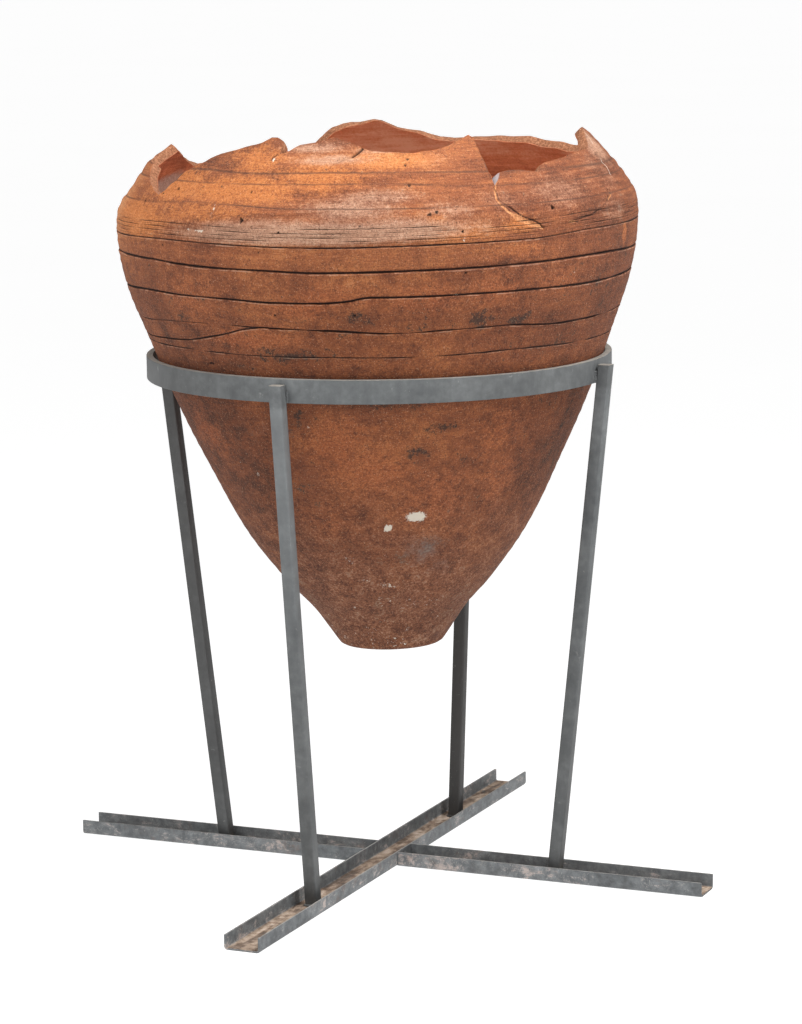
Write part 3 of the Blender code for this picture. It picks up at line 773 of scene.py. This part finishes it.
def carveJar(mesh):  # moves the outer wall for rings, comb lines, pores, cracks and chips, and marks them
    side = mesh.verts.layers.float["side"]
    verts = list(mesh.verts)
    points = np.array([vert.co for vert in verts])
    sides = np.array([vert[side] for vert in verts])
    azimuth = np.degrees(np.arctan2(points[:, 1], points[:, 0]))
    height = points[:, 2]
    outer = (sides < 0.5) & (height > 0.001 - jar["footDepth"])
    slope = wallSlope(height)
    length = np.hypot(1.0, slope)
    angle = np.radians(azimuth)
    normal = np.stack([np.cos(angle) / length, np.sin(angle) / length, -slope / length], 1)
    rings, move, away, near, size = incise(azimuth, height)
    band = bandHeight(azimuth, height)
    for level, drop in zip(bandLevels, bandDrops):
        across = (band - level / 1000.0) * 1000.0
        move += drop / 1000.0 * (np.exp(-((across + 6.0) / 5.0) ** 2) - np.exp(-(across / 2.4) ** 2))
    move -= sum(hollows(dents, azimuth, height))
    pit = np.zeros(len(verts))
    rim = np.zeros(len(verts))
    for poreAzimuth, poreHeight, halfWidth, halfHeight, depth in pores:
        dx, dy = wallDistance(azimuth, height, poreAzimuth, poreHeight / 1000.0)
        reach = np.hypot(dx / halfWidth, dy / halfHeight) * 1000.0
        around = np.arctan2(dy, dx)
        reach *= 1.0 + 0.22 * np.sin(around * 3.0 + poreAzimuth) + 0.12 * np.sin(around * 5.0)
        bowl = np.clip(1.0 - reach ** 2, 0.0, 1.0)
        move -= depth / 1000.0 * bowl ** 0.7
        pit = np.maximum(pit, np.clip(bowl * 1.8, 0.0, 1.0))
        rim = np.maximum(rim, np.exp(-((reach - 1.25) / 0.3) ** 2) * 0.3 * min(1.0, depth / 5.0))
    for crack in cracks:
        gap = lineDistance(azimuth, height, crack["line"]) * 1000.0
        groove = np.exp(-(gap / crack["width"]) ** 2)
        move -= crack["depth"] / 1000.0 * groove
        pit = np.maximum(pit, groove * min(1.0, crack["depth"] / 2.2))
    fresh = np.zeros(len(verts))
    for spall in spalls:
        gap = lineDistance(azimuth, height, spall["line"]) * 1000.0
        worn = np.clip(1.25 - gap / spall["width"], 0.0, 1.0)
        fresh = np.maximum(fresh, worn)
        move -= spall["depth"] / 1000.0 * worn
    scratch = np.zeros(len(verts))
    for line in scratches:
        gap = lineDistance(azimuth, height, line) * 1000.0
        scratch = np.maximum(scratch, np.exp(-(gap / 0.9) ** 2))
    fades = jar["seatFades"]
    free = 1.0 - (1.0 - softStep(*fades[2:], height)) * softStep(*fades[:2], height)
    move = np.where(move > 0.0, move * free, move)
    move -= sum(hollows(footChips, azimuth, height))
    move = np.where(outer, move, 0.0)
    points += normal * move[:, None]
    for vert, point in zip(verts, points):
        vert.co = point
    within = sides > 1.5
    broken = np.clip(1.0 - np.abs(sides - 1.0) * 1.6, 0.0, 1.0)
    followed = height - (rings["third"] - jar["thirdLevel"]) * np.exp(-((height - 0.65) / 0.06) ** 2)
    coreAzimuth, coreWidth = jar["coreAt"]
    lime = patches(limes, azimuth, height) + plasterSpot(azimuth, height) + scratch
    fields = {
        "turn": np.where(outer, followed, height),
        "band": band,
        "inside": softStep(1.4, 1.9, sides),
        "broken": broken,
        "ringAway": away,
        "ringNear": np.where(outer, near, 0.0),
        "ringSize": size,
        "core": np.exp(-((azimuth - coreAzimuth) / coreWidth) ** 2) * broken,
        "pit": np.where(outer, pit, 0.0),
        "fresh": np.where(outer, np.maximum(fresh, rim * 0.5), 0.0),
        "soot": np.where(outer, patches(smudges, azimuth, height), 0.0),
        "glow": np.where(outer, patches(glows, azimuth, height), 0.0),
        "bloom": np.where(outer, patches(blooms, azimuth, height), 0.0),
        "lime": np.where(outer, lime, 0.0),
        "shade": np.where(within, summed(innerPaintedLightAndShade, azimuth, height), summed(wallTonesAndPaintedLight, azimuth, height)),
        "ash": np.where(within, patches(innerAshes, azimuth, height), patches(ashes, azimuth, height)),
        "free": (free * np.where(height < 0.004, 0.0, 1.0) * np.where(within, 1.0, 1.0 - 0.6 * pit)
                 * (1.0 - 0.75 * (np.abs(sides - 1.0) < 0.5))),
    }
    return fields


def plasterSpot(azimuth, height):
    dx, dy = wallDistance(azimuth, height, plasterRing["at"][0], plasterRing["at"][1] / 1000.0)
    away = np.hypot(dx, dy) * 1000.0
    return 1.3 * np.exp(-((away - plasterRing["radius"] * 0.6) / plasterRing["width"]) ** 2)


relief = {"Lump Depth": 0.0016, "Lump Scale": 6.0, "Ripple Depth": 0.0007, "Ripple Pitch": 0.017,
          "Grain Depth": 0.0004, "Grain Scale": 70.0, "Seed": 3.0}


def reliefTree():  # hand-turned unevenness: soft lumps, turning ripples and a coarse grain
    inputs = {label: ("Float", value) for label, value in relief.items()}
    tree, start, given = newTree("turnedClay", {**inputs, "Clay": ("Material", None)})

    def named(name):
        return start.node("GeometryNodeInputNamedAttribute", {"data_type": "FLOAT"}, {"Name": name})

    def noise(scale, detail):
        return start.node("ShaderNodeTexNoise", {"noise_dimensions": "4D"},
                          {"W": given["Seed"], "Scale": scale, "Detail": detail})

    lumps = (noise(given["Lump Scale"], 2.0) - 0.5) * given["Lump Depth"] * 2.0
    grain = (noise(given["Grain Scale"], 3.0) - 0.5) * given["Grain Depth"] * 2.0
    phase = named("turn") * math.tau
    phase = phase.math("DIVIDE", phase, given["Ripple Pitch"]) + noise(given["Lump Scale"], 1.0) * 9.0
    ripple = phase.math("SINE", phase) * given["Ripple Depth"] * noise(3.0, 1.0)
    height = (lumps + ripple + grain - 0.0003) * named("free")
    normal = start.node("GeometryNodeInputNormal")
    offset = start.node("ShaderNodeVectorMath", {"operation": "SCALE"}, {0: normal, "Scale": height})
    moved = start.node("GeometryNodeSetPosition", values={"Geometry": given["Geometry"], "Offset": offset})
    return endTree(tree, start, moved, given["Clay"])


def firedClay():
    clay = Finish("firedClay")
    turn, band = clay.attribute("turn"), clay.attribute("band")
    streakAt = clay.vector(clay.x * 10.0, clay.y * 10.0, turn * 150.0)
    fineAt = clay.vector(clay.x * 46.0, clay.y * 46.0, turn * 640.0)
    zone = clay.noise(4.2, 3.0, 0.55, warp=0.4)
    mottle = clay.noise(17.0, 8.0, 0.7)
    patch = clay.noise(44.0, 7.0, 0.72)
    streak = clay.noise(1.0, 5.0, 0.66, at=streakAt)
    fine = clay.noise(1.0, 4.0, 0.65, at=fineAt)
    grain = clay.noise(230.0, 4.0, 0.7)
    speck = clay.noise(470.0, 2.0, 0.6)
    upper = turn.step(0.68, 0.76)
    inside = clay.attribute("inside")
    soot = (clay.attribute("soot") * 0.7 + 2.8 * (patch - 0.5) + 1.6 * (grain - 0.5)).step(0.34, 0.74)
    glow = (clay.attribute("glow") + 1.3 * (patch - 0.5) + 0.7 * (grain - 0.5)).step(0.15, 0.75)
    ragged = 0.17 * zone + 0.20 * mottle + 0.27 * patch + 0.20 * grain + 0.08 * streak + 0.08 * fine
    turned = 0.20 * zone + 0.17 * mottle + 0.10 * patch + 0.14 * grain + 0.24 * streak + 0.15 * fine
    tone = ragged + (turned - ragged) * upper
    # the shade attribute adds the listed lighter and darker parts of the wall, partly painted light and shade
    tone = 0.505 + 2.4 * (tone - 0.5) + 0.08 * glow + clay.attribute("shade")
    colour = clay.ramp(tone, (
        (0.18, 0.040, 0.016, 0.010), (0.33, 0.098, 0.032, 0.015), (0.46, 0.175, 0.053, 0.022),
        (0.58, 0.262, 0.083, 0.031), (0.72, 0.375, 0.130, 0.046), (0.88, 0.520, 0.225, 0.095),
    ))
    warm = 0.3 * fine + 0.7 * grain
    brick = clay.ramp(warm, (
        (0.36, 0.160, 0.044, 0.018), (0.52, 0.320, 0.088, 0.031), (0.66, 0.430, 0.148, 0.058)))
    orange = clay.ramp(warm, (
        (0.36, 0.300, 0.090, 0.025), (0.52, 0.500, 0.165, 0.043), (0.66, 0.620, 0.255, 0.090)))
    colour = (glow * (0.60 + 0.12 * upper)).over(colour, upper.over(brick, orange))
    vein = clay.noise(58.0, 7.0, 0.72, warp=0.8) - 0.5
    vein = (1.0 - vein.math("ABSOLUTE", vein).step(0.002, 0.014)) * mottle.step(0.44, 0.56) * (1.0 - inside)
    colour = (vein * (0.75 - 0.45 * upper)).over(colour, rgb(0.050, 0.026, 0.019))
    colour = (soot * (0.55 + 0.6 * patch)).clamped().over(colour, rgb(0.040, 0.027, 0.022))
    bloom = clay.attribute("bloom") + 0.8 * (streak - 0.5) + 0.9 * (patch - 0.5) + 0.7 * (grain - 0.5)
    bloom = bloom.step(0.24, 1.0)
    colour = (bloom * 0.9).over(colour, clay.ramp(0.3 * mottle + 0.3 * fine + 0.4 * grain, (
        (0.34, 0.215, 0.105, 0.067), (0.50, 0.400, 0.218, 0.140), (0.64, 0.570, 0.365, 0.252))))
    ashy = (1.0 - turn.step(0.04, 0.38)) * (0.2 + 0.8 * patch)
    crust = 0.45 * patch + 0.55 * grain
    colour = ashy.clamped().over(colour, clay.ramp(crust, (
        (0.42, 0.045, 0.022, 0.016), (0.49, 0.140, 0.059, 0.034), (0.55, 0.235, 0.110, 0.063),
        (0.62, 0.420, 0.265, 0.175))))
    colour = (speck.step(0.56, 0.66) * 0.62).over(colour, rgb(0.045, 0.020, 0.014))
    colour = ((1.0 - speck.step(0.30, 0.40)) * 0.5).over(colour, rgb(0.50, 0.285, 0.175))
    # inside, the shade attribute holds painted light and shade
    innerTone = 0.4 * streak + 0.35 * mottle + 0.25 * grain + clay.attribute("shade")
    innerColour = clay.ramp(innerTone, (
        (0.30, 0.150, 0.062, 0.038), (0.43, 0.350, 0.115, 0.055), (0.56, 0.600, 0.215, 0.100),
        (0.70, 0.740, 0.400, 0.250)))
    colour = inside.over(colour, innerColour)
    ash = (clay.attribute("ash") + 1.2 * (patch - 0.5)).step(0.15, 0.75) * (0.6 + 0.3 * inside)
    outerAsh = clay.ramp(grain, ((0.4, 0.120, 0.092, 0.080), (0.6, 0.210, 0.172, 0.152)))
    innerAsh = clay.ramp(grain, ((0.4, 0.330, 0.250, 0.205), (0.6, 0.470, 0.370, 0.305)))
    ashColour = inside.over(outerAsh, innerAsh)
    colour = ash.over(colour, ashColour)
    breakColour = clay.ramp(clay.noise(240.0, 5.0, 0.7), (
        (0.34, 0.135, 0.050, 0.025), (0.50, 0.270, 0.107, 0.050), (0.66, 0.440, 0.220, 0.124)))
    breakColour = clay.attribute("core").over(breakColour, rgb(0.36, 0.300, 0.300))
    broken = clay.attribute("broken")
    colour = broken.over(colour, breakColour)
    fresh = (clay.attribute("fresh") + 1.3 * (patch - 0.5)).step(0.3, 0.6)
    colour = (fresh * 0.9).over(colour, clay.ramp(grain, (
        (0.35, 0.370, 0.130, 0.045), (0.65, 0.600, 0.290, 0.130))))
    # dark lines painted along the faint turned lines of the shoulder: painted shade in the shallow steps they
    # cut
    faint = sum(band.near(level / 1000.0, width) for level, width in zip(bandLevels, bandWidths))
    faint = faint * streak.step(0.36, 0.54)
    faint = (faint * (1.0 - inside) * (1.0 - broken) * 0.75).clamped()
    colour = faint.over(colour, rgb(0.070, 0.032, 0.021))
    size = clay.attribute("ringSize")
    wobble = clay.attribute("ringAway") + 2.2 * (clay.noise(64.0, 6.0, 0.75) - 0.5)
    away = wobble.math("ABSOLUTE", wobble)
    onRing = clay.attribute("ringNear")
    worn = size * (0.5 + 1.0 * clay.noise(48.0, 4.0, 0.7))
    # the incised and combed lines painted near black along their bottoms: partly dirt in them and partly
    # painted shade
    grooveDirtAndShade = (1.0 - away.step(worn * 0.55, worn * 1.25)) * onRing * size.step(0.1, 0.5)
    # a painted highlight: the lower lip under each incised line paler, where it catches the light
    below = wobble + size * 1.5 + 0.75
    lip = (1.0 - below.math("ABSOLUTE", below).step(0.35, 1.15)) * onRing * patch.step(0.43, 0.58)
    colour = (lip * size.step(0.45, 1.2) * 0.5).over(colour, rgb(0.50, 0.325, 0.235))
    colour = (grooveDirtAndShade * 0.95).clamped().over(colour, rgb(0.016, 0.008, 0.006))
    # pores, cracks and small pits painted near black: partly dirt in them and partly painted shade
    pit = clay.attribute("pit")
    smallPit = (1.0 - clay.dots(46.0).step(0.04, 0.10)) * clay.dots(46.0, output=1).step(0.86, 0.9)
    holeDirtAndShade = pit.math("MAXIMUM", pit, smallPit)
    colour = (holeDirtAndShade * 0.95).over(colour, rgb(0.012, 0.007, 0.006))
    lowLime = clay.noise(150.0, 4.0, 0.7).step(0.58, 0.64) * mottle.step(0.44, 0.58)
    lowLime = (1.0 - turn.step(0.02, 0.26)) * lowLime
    placed = clay.attribute("lime")
    ragged = 1.5 * (clay.noise(260.0, 4.0, 0.7) - 0.5) * placed.step(0.0, 0.3)
    lime = (placed + ragged + lowLime * 0.6).clamped()
    colour = (lime.step(0.34, 0.62) * 0.95).over(colour, rgb(0.62, 0.560, 0.470))
    turning = (0.5 * fine + 0.35 * streak) * (1.0 - broken)
    height = 0.5 * speck + 1.0 * grain + 0.9 * clay.noise(110.0, 4.0, 0.62) + turning
    height = height - 0.9 * smallPit + 0.35 * lime + broken * clay.noise(300.0, 4.0, 0.7) * 0.7 - 1.2 * grooveDirtAndShade
    roughness = (0.72 + 0.22 * mottle + 0.1 * soot).clamped()
    return clay.finish(colour, roughness, height, 0.0021, specular=0.26)


def buildJar():
    mesh = buildJarMesh()
    refineJar(mesh)
    fields = carveJar(mesh)
    data = bpy.data.meshes.new("pithosClay")
    mesh.to_mesh(data)
    mesh.free()
    data.transform(jarPlacement())
    data.update()
    for name, values in fields.items():
        layer = data.attributes.new(name, "FLOAT", "POINT")
        layer.data.foreach_set("value", values.astype(np.float32))
    data.shade_smooth()
    thing = newObject("jarBody", data)
    clay = firedClay()
    growMesh(thing, reliefTree(), {**relief, "Clay": clay})
    thing.data.set_sharp_from_angle(angle=math.radians(48.0))
    keep(thing, "fired_clay", "pithos")
    triangles = sum(len(face.vertices) - 2 for face in thing.data.polygons)
    print("jar built,", triangles, "triangles")
    return thing


buildJar()


# Stand: a hoop of flat bar, four square tubes and a cross of folded channels

stand = {
    "ringInner": 0.3936,
    "ringCentre": (-0.0035, -0.0015),
    "legWidth": 0.0225,
    "barThickness": 0.012,
    "barHeight": 0.040,
    "ringTop": 0.920,
    "barRounding": 0.0012,
    "ringSegments": 288,
    "edgeRounding": 0.0006,
    "channelWidth": 0.065,
    "channelHeight": 0.026,
    "channelWall": 0.0035,
    "foldRadius": 0.0045,
    "legFootRadius": 0.319,
}


def hoopTree():  # a rounded bar carried round a circle
    tree, start, given = newTree("rolledHoop", {
        "Radius": ("Float", 0.4), "Thickness": ("Float", 0.01), "Height": ("Float", 0.04),
        "Rounding": ("Float", 0.001), "Segments": ("Int", 288), "Centre": ("Vector", (0.0, 0.0, 0.9)),
        "Paint": ("Material", None)})
    path = start.node("GeometryNodeCurvePrimitiveCircle", {"mode": "RADIUS"},
                      {"Resolution": given["Segments"], "Radius": given["Radius"]})
    bar = start.node("GeometryNodeCurvePrimitiveQuadrilateral", {"mode": "RECTANGLE"},
                     {"Width": given["Thickness"], "Height": given["Height"]})
    bar = start.node("GeometryNodeFilletCurve", {"mode": "POLY"},
                     {"Curve": bar, "Radius": given["Rounding"], "Count": 3})
    hoop = start.node("GeometryNodeCurveToMesh", values={"Curve": path, "Profile Curve": bar})
    raised = start.node("GeometryNodeSetPosition", values={"Geometry": hoop, "Offset": given["Centre"]})
    return endTree(tree, start, raised, given["Paint"])


def greyPaint(name, scuffs):  # satin stand paint with dull patches, scuffs and bare or dusty upper edges, with painted shade on the legs behind the jar, on the ring's sides and low down, and a painted light on the front leg
    paint = Finish(name)
    broad = paint.noise(9.0, 4.0, 0.6)
    small = paint.noise(60.0, 5.0, 0.65)
    grain = paint.noise(420.0, 3.0, 0.6)
    drip = paint.noise(1.0, 4.0, 0.6, at=paint.vector(paint.x * 160.0, paint.y * 160.0, paint.z * 14.0))
    colour = paint.ramp(0.55 * broad + 0.36 * small + 0.09 * drip, (
        (0.34, 0.060, 0.064, 0.067), (0.50, 0.100, 0.106, 0.108), (0.66, 0.158, 0.166, 0.168)))
    up = paint.facingUp()
    dusty = (up.step(0.75, 0.97) * (0.35 + 1.0 * small)).clamped()
    colour = (dusty * 0.7).over(colour, rgb(0.37, 0.335, 0.285))
    onRing = paint.z.step(0.868, 0.878)
    below = 1.0 - onRing
    # painted shade: the jar's shadow painted on the left and back legs, growing up their length, the back leg
    # darker still, the ring darker on its left and right sides, and everything darker towards the floor
    far = (paint.y - paint.x).step(0.14, 0.34) * below * paint.z.step(-0.3, 0.75)
    ringSideShade = (0.0 - paint.x).step(-0.04, 0.22) * 0.40 + paint.x.step(0.16, 0.34) * 0.22
    shaded = far * 0.68 + paint.y.step(0.20, 0.30) * below * 0.42 + ringSideShade * onRing
    shaded = (shaded + (1.0 - paint.z.step(0.05, 0.60)) * 0.26).clamped()
    colour = shaded.over(colour, rgb(0.030, 0.027, 0.025))
    # painted light: the upper part of the front leg lighter, where the light falls on it
    frontLegLight = (0.0 - paint.y).step(0.24, 0.30) * below * paint.z.step(0.30, 0.86)
    colour = (frontLegLight * 0.3).over(colour, rgb(0.235, 0.245, 0.250))
    scuff = paint.noise(46.0, 6.0, 0.72, warp=0.6).step(0.63, 0.70) * scuffs
    colour = (scuff * 0.75).over(colour, rgb(0.40, 0.40, 0.385))
    fleck = grain.step(0.68, 0.74) * 0.35
    colour = fleck.over(colour, rgb(0.30, 0.31, 0.31))
    roughness = (0.46 + 0.22 * small + 0.25 * dusty).clamped()
    height = 0.45 * small + 0.35 * grain + 0.2 * drip
    return paint.finish(colour, roughness, height, 0.00035, specular=0.42)


def roundEdges(mesh, edges, size, steps, profile):
    bmesh.ops.bevel(mesh, geom=edges, offset=size, segments=steps, profile=profile, affect="EDGES",
                    clamp_overlap=True)


def reworkNode(node, pieceName, material, fold=0.0):  # a node's own shape, edges eased and bends rounded
    mesh = bmesh.new()
    mesh.from_mesh(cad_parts[node].data)
    bmesh.ops.remove_doubles(mesh, verts=mesh.verts, dist=2e-5)
    bmesh.ops.dissolve_limit(mesh, angle_limit=math.radians(0.5), verts=mesh.verts, edges=mesh.edges)
    square = math.radians(50.0)
    if fold:
        folds = [edge for edge in mesh.edges if edge.calc_length() > 0.3
                 and all(vert.co.z < 1e-4 for vert in edge.verts) and edge.calc_face_angle(0.0) > square]
        roundEdges(mesh, folds, fold, 5, 0.5)
    sharp = [edge for edge in mesh.edges if len(edge.link_faces) == 2 and edge.calc_face_angle() > square]
    roundEdges(mesh, sharp, stand["edgeRounding"], 2, 0.6)
    bmesh.ops.recalc_face_normals(mesh, faces=mesh.faces)
    data = bpy.data.meshes.new(pieceName)
    mesh.to_mesh(data)
    mesh.free()
    data.materials.append(material)
    data.shade_smooth()
    data.set_sharp_from_angle(angle=math.radians(32.0))
    return newObject(pieceName, data)


def channelPaint(name, alongY):  # the same paint, scuffed, with dust and rust lying in the trough
    paint = Finish(name)
    along, across = (paint.y, paint.x) if alongY else (paint.x, paint.y)
    broad = paint.noise(11.0, 4.0, 0.6)
    small = paint.noise(70.0, 6.0, 0.68)
    grain = paint.noise(420.0, 3.0, 0.6)
    colour = paint.ramp(0.40 * broad + 0.60 * small, (
        (0.34, 0.066, 0.069, 0.071), (0.47, 0.118, 0.126, 0.131), (0.58, 0.176, 0.186, 0.191),
        (0.70, 0.250, 0.260, 0.263)))
    stretched = paint.vector(along * 24.0, across * 40.0, paint.z * 60.0)
    scrape = paint.noise(1.0, 8.0, 0.78, at=stretched, warp=0.9)
    scuff = (scrape + 0.5 * (broad - 0.5)).step(0.54, 0.64) * small.step(0.40, 0.56)
    bare = paint.ramp(broad, ((0.4, 0.42, 0.40, 0.385), (0.6, 0.46, 0.375, 0.335)))
    colour = (scuff * 0.8).over(colour, bare)
    grime = paint.noise(14.0, 6.0, 0.7, warp=0.5).step(0.50, 0.68)
    half = stand["channelWidth"] / 2 - stand["channelWall"]
    within = 1.0 - across.math("ABSOLUTE", across).step(half - 0.003, half + 0.0005)
    colour = (grime * (0.12 + 0.55 * within)).over(colour, rgb(0.115, 0.085, 0.066))
    chip = grain.step(0.60, 0.68) * broad.step(0.42, 0.56)
    colour = (chip * 0.6).over(colour, rgb(0.44, 0.42, 0.40))
    up = paint.facingUp()
    low = 1.0 - paint.z.step(stand["channelWall"] + 0.001, stand["channelWall"] + 0.010)
    inTrough = within * low
    lying = paint.vector(along * 9.0, across * 34.0, paint.z * 20.0)
    dirt = paint.noise(1.0, 6.0, 0.65, at=lying, warp=0.7)
    dust = (inTrough * up.step(0.1, 0.8) * (0.35 + 1.2 * dirt)).clamped()
    dustColour = paint.ramp(dirt * 0.6 + small * 0.4, (
        (0.36, 0.055, 0.038, 0.028), (0.45, 0.150, 0.098, 0.066), (0.53, 0.34, 0.255, 0.190),
        (0.63, 0.56, 0.46, 0.38)))
    colour = dust.over(colour, dustColour)
    top = stand["channelHeight"]
    topLip = up.step(0.8, 0.97) * paint.z.step(top - 0.002, top - 0.0008)
    colour = (topLip * (0.3 + 0.8 * small)).clamped().over(colour, rgb(0.30, 0.29, 0.27))
    rust = paint.noise(26.0, 7.0, 0.74).step(0.57, 0.68) * (0.3 + 0.55 * within)
    colour = rust.over(colour, rgb(0.145, 0.070, 0.038))
    roughness = (0.52 + 0.2 * small + 0.3 * dust).clamped()
    height = 0.6 * small + 0.4 * grain + 0.9 * dust
    return paint.finish(colour, roughness, height, 0.0006, specular=0.4)


welds = {"Pitch": 0.0021, "Size": 0.0021, "Seed": 5}


def weldTree():  # overlapping ripples of weld along a path
    tree, start, given = newTree("weldRipples", {
        "Pitch": ("Float", 0.002), "Size": ("Float", 0.003), "Seed": ("Int", 1),
        "Steel": ("Material", None)})
    path = start.node("GeometryNodeMeshToCurve", values={0: given["Geometry"]})
    points = start.node("GeometryNodeResampleCurve", {"mode": "LENGTH"},
                        {"Curve": path, "Length": given["Pitch"]})
    ripple = start.node("GeometryNodeMeshUVSphere", values={
        "Segments": 8, "Rings": 6, "Radius": given["Size"]})
    chance = start.node("FunctionNodeRandomValue", {"data_type": "FLOAT"},
                        {2: 0.75, 3: 1.15, "Seed": given["Seed"]}, output=1)
    placed = start.node("GeometryNodeInstanceOnPoints", values={
        "Points": points, "Instance": ripple, "Scale": chance})
    smooth = start.node("GeometryNodeSetShadeSmooth", values={0: placed})
    return endTree(tree, start, smooth, given["Steel"])


def weldPaths():  # short runs on both sides of each leg, at the ring's lower edge and at the foot
    runs = []
    outer = stand["ringInner"] + stand["barThickness"]
    halfLeg = stand["legWidth"] / 2
    low = stand["ringTop"] - stand["barHeight"]
    centre = Vector((*stand["ringCentre"], 0.0))
    foot, floor = stand["legFootRadius"], stand["channelWall"] + 0.0012
    for azimuth in (-90.0, 0.0, 90.0, 180.0):
        turn = Matrix.Rotation(math.radians(azimuth), 4, "Z")
        for sideways in (-1.0, 1.0):
            y = sideways * (halfLeg + 0.0004)
            inset = outer - y * y / (2.0 * outer) + 0.0006
            runs.append([centre + turn @ Vector((inset, y, low + rise)) for rise in (0.002, 0.010, 0.019)])
            runs.append([turn @ Vector((foot + x, y, floor)) for x in (-0.010, 0.0, 0.011)])
        for x in (-halfLeg - 0.0002, halfLeg + 0.0012):
            runs.append([turn @ Vector((foot + x, y, floor)) for y in (-0.009, 0.0, 0.009)])
    half = stand["channelWidth"] / 2
    for sideX in (-1.0, 1.0):
        for y in (-half, half):
            x = sideX * (half + 0.0006)
            inward = -0.0008 if y > 0 else 0.0008
            runs.append([Vector((x, y + inward, z)) for z in (0.004, 0.012, 0.022)])
    return runs


def buildStand():
    paint = greyPaint("standPaintAndPaintedLight", 0.35)
    empty = newObject("supportHoop", bpy.data.meshes.new("supportHoop"))
    hoop = growMesh(empty, hoopTree(), {
        "Radius": stand["ringInner"] + stand["barThickness"] / 2,
        "Thickness": stand["barThickness"], "Height": stand["barHeight"], "Rounding": stand["barRounding"],
        "Segments": stand["ringSegments"], "Paint": paint,
        "Centre": (*stand["ringCentre"], stand["ringTop"] - stand["barHeight"] / 2)})
    tidyNormals(hoop.data)
    hoop.data.shade_smooth()
    hoop.data.set_sharp_from_angle(angle=math.radians(40.0))
    keep(hoop, "painted_steel", "support_ring")
    for node in ("leg_front", "leg_right", "leg_back", "leg_left"):
        pieceName = node.replace("leg_", "leg") + "Tube"
        keep(reworkNode(node, pieceName, paint), "painted_steel", node)
    longPaint, crossPaint = channelPaint("longChannelPaint", True), channelPaint("crossChannelPaint", False)
    for node, material in (("long_channel", longPaint), ("half_channel_left", crossPaint),
                           ("half_channel_right", crossPaint)):
        piece = reworkNode(node, node.replace("_", "") + "Steel", material, stand["foldRadius"])
        keep(piece, "worn_steel", node)
    data = bpy.data.meshes.new("weldPaths")
    points, edges = [], []
    for run in weldPaths():
        edges += [(len(points) + step, len(points) + step + 1) for step in range(len(run) - 1)]
        points += run
    data.from_pydata(points, edges, [])
    weld = growMesh(newObject("weldBeads", data), weldTree(), {**welds, "Steel": paint})
    keep(weld, "painted_steel")
    print("stand built")


def tidyNormals(data):
    mesh = bmesh.new()
    mesh.from_mesh(data)
    bmesh.ops.remove_doubles(mesh, verts=mesh.verts, dist=1e-6)
    bmesh.ops.recalc_face_normals(mesh, faces=mesh.faces)
    mesh.to_mesh(data)
    mesh.free()


buildStand()


# Studio

studio = {
    "floorSize": 160.0,
    "skyStrength": 0.26,
    "aim": (0.0, 0.0, 1.15),
    "rightPower": 74.0,
    "rightAt": (-10.0, 46.0, 2.15),   # azimuth, elevation and distance from the aim
    "leftPower": 44.0,
    "leftAt": (-122.0, 46.0, 2.15),
    "softboxSize": 1.2,
    "frontStrength": 0.95,
    "frontFrom": (-66.0, 12.0, 6.0),
    "floorGlow": 0.86,
}


def addLight(name, kind, place, strength):
    light = bpy.data.lights.new(name, kind)
    light.energy = strength
    lamp = newObject(name, light)
    azimuth, elevation = math.radians(place[0]), math.radians(place[1])
    towards = Vector((math.cos(azimuth) * math.cos(elevation), math.sin(azimuth) * math.cos(elevation),
                      math.sin(elevation)))
    lamp.matrix_world = (Matrix.Translation(Vector(studio["aim"]) + towards * place[2])
                         @ towards.to_track_quat("Z", "Y").to_matrix().to_4x4())
    return light


def buildStudio():
    mesh = bmesh.new()
    bmesh.ops.create_grid(mesh, x_segments=4, y_segments=4, size=studio["floorSize"] / 2)
    data = bpy.data.meshes.new("floor")
    mesh.to_mesh(data)
    mesh.free()
    data.materials.append(paleFloor())
    newObject("floor", data)
    world = bpy.data.worlds.new("studio")
    world.use_nodes = True
    world.node_tree.nodes["Background"].inputs["Color"].default_value = rgb(1.0, 1.0, 1.0)
    world.node_tree.nodes["Background"].inputs["Strength"].default_value = studio["skyStrength"]
    bpy.context.scene.world = world
    for side in ("right", "left"):
        softbox = addLight(side + "Softbox", "AREA", studio[side + "At"], studio[side + "Power"])
        softbox.size = studio["softboxSize"]
    front = addLight("front", "SUN", studio["frontFrom"], studio["frontStrength"])
    front.angle = math.radians(40.0)
    bpy.context.scene.view_settings.view_transform = "Standard"
    print("studio built")


def paleFloor():
    floor = Finish("paleFloor")
    floor.shader.inputs["Emission Color"].default_value = rgb(1.0, 1.0, 1.0)
    floor.shader.inputs["Emission Strength"].default_value = studio["floorGlow"]
    soft = floor.noise(0.6, 3.0, 0.5)
    colour = floor.ramp(soft, ((0.3, 0.33, 0.33, 0.33), (0.7, 0.35, 0.35, 0.35)))
    return floor.finish(colour, 0.8 + 0.05 * soft, soft, 0.0001, specular=0.2)


buildStudio()
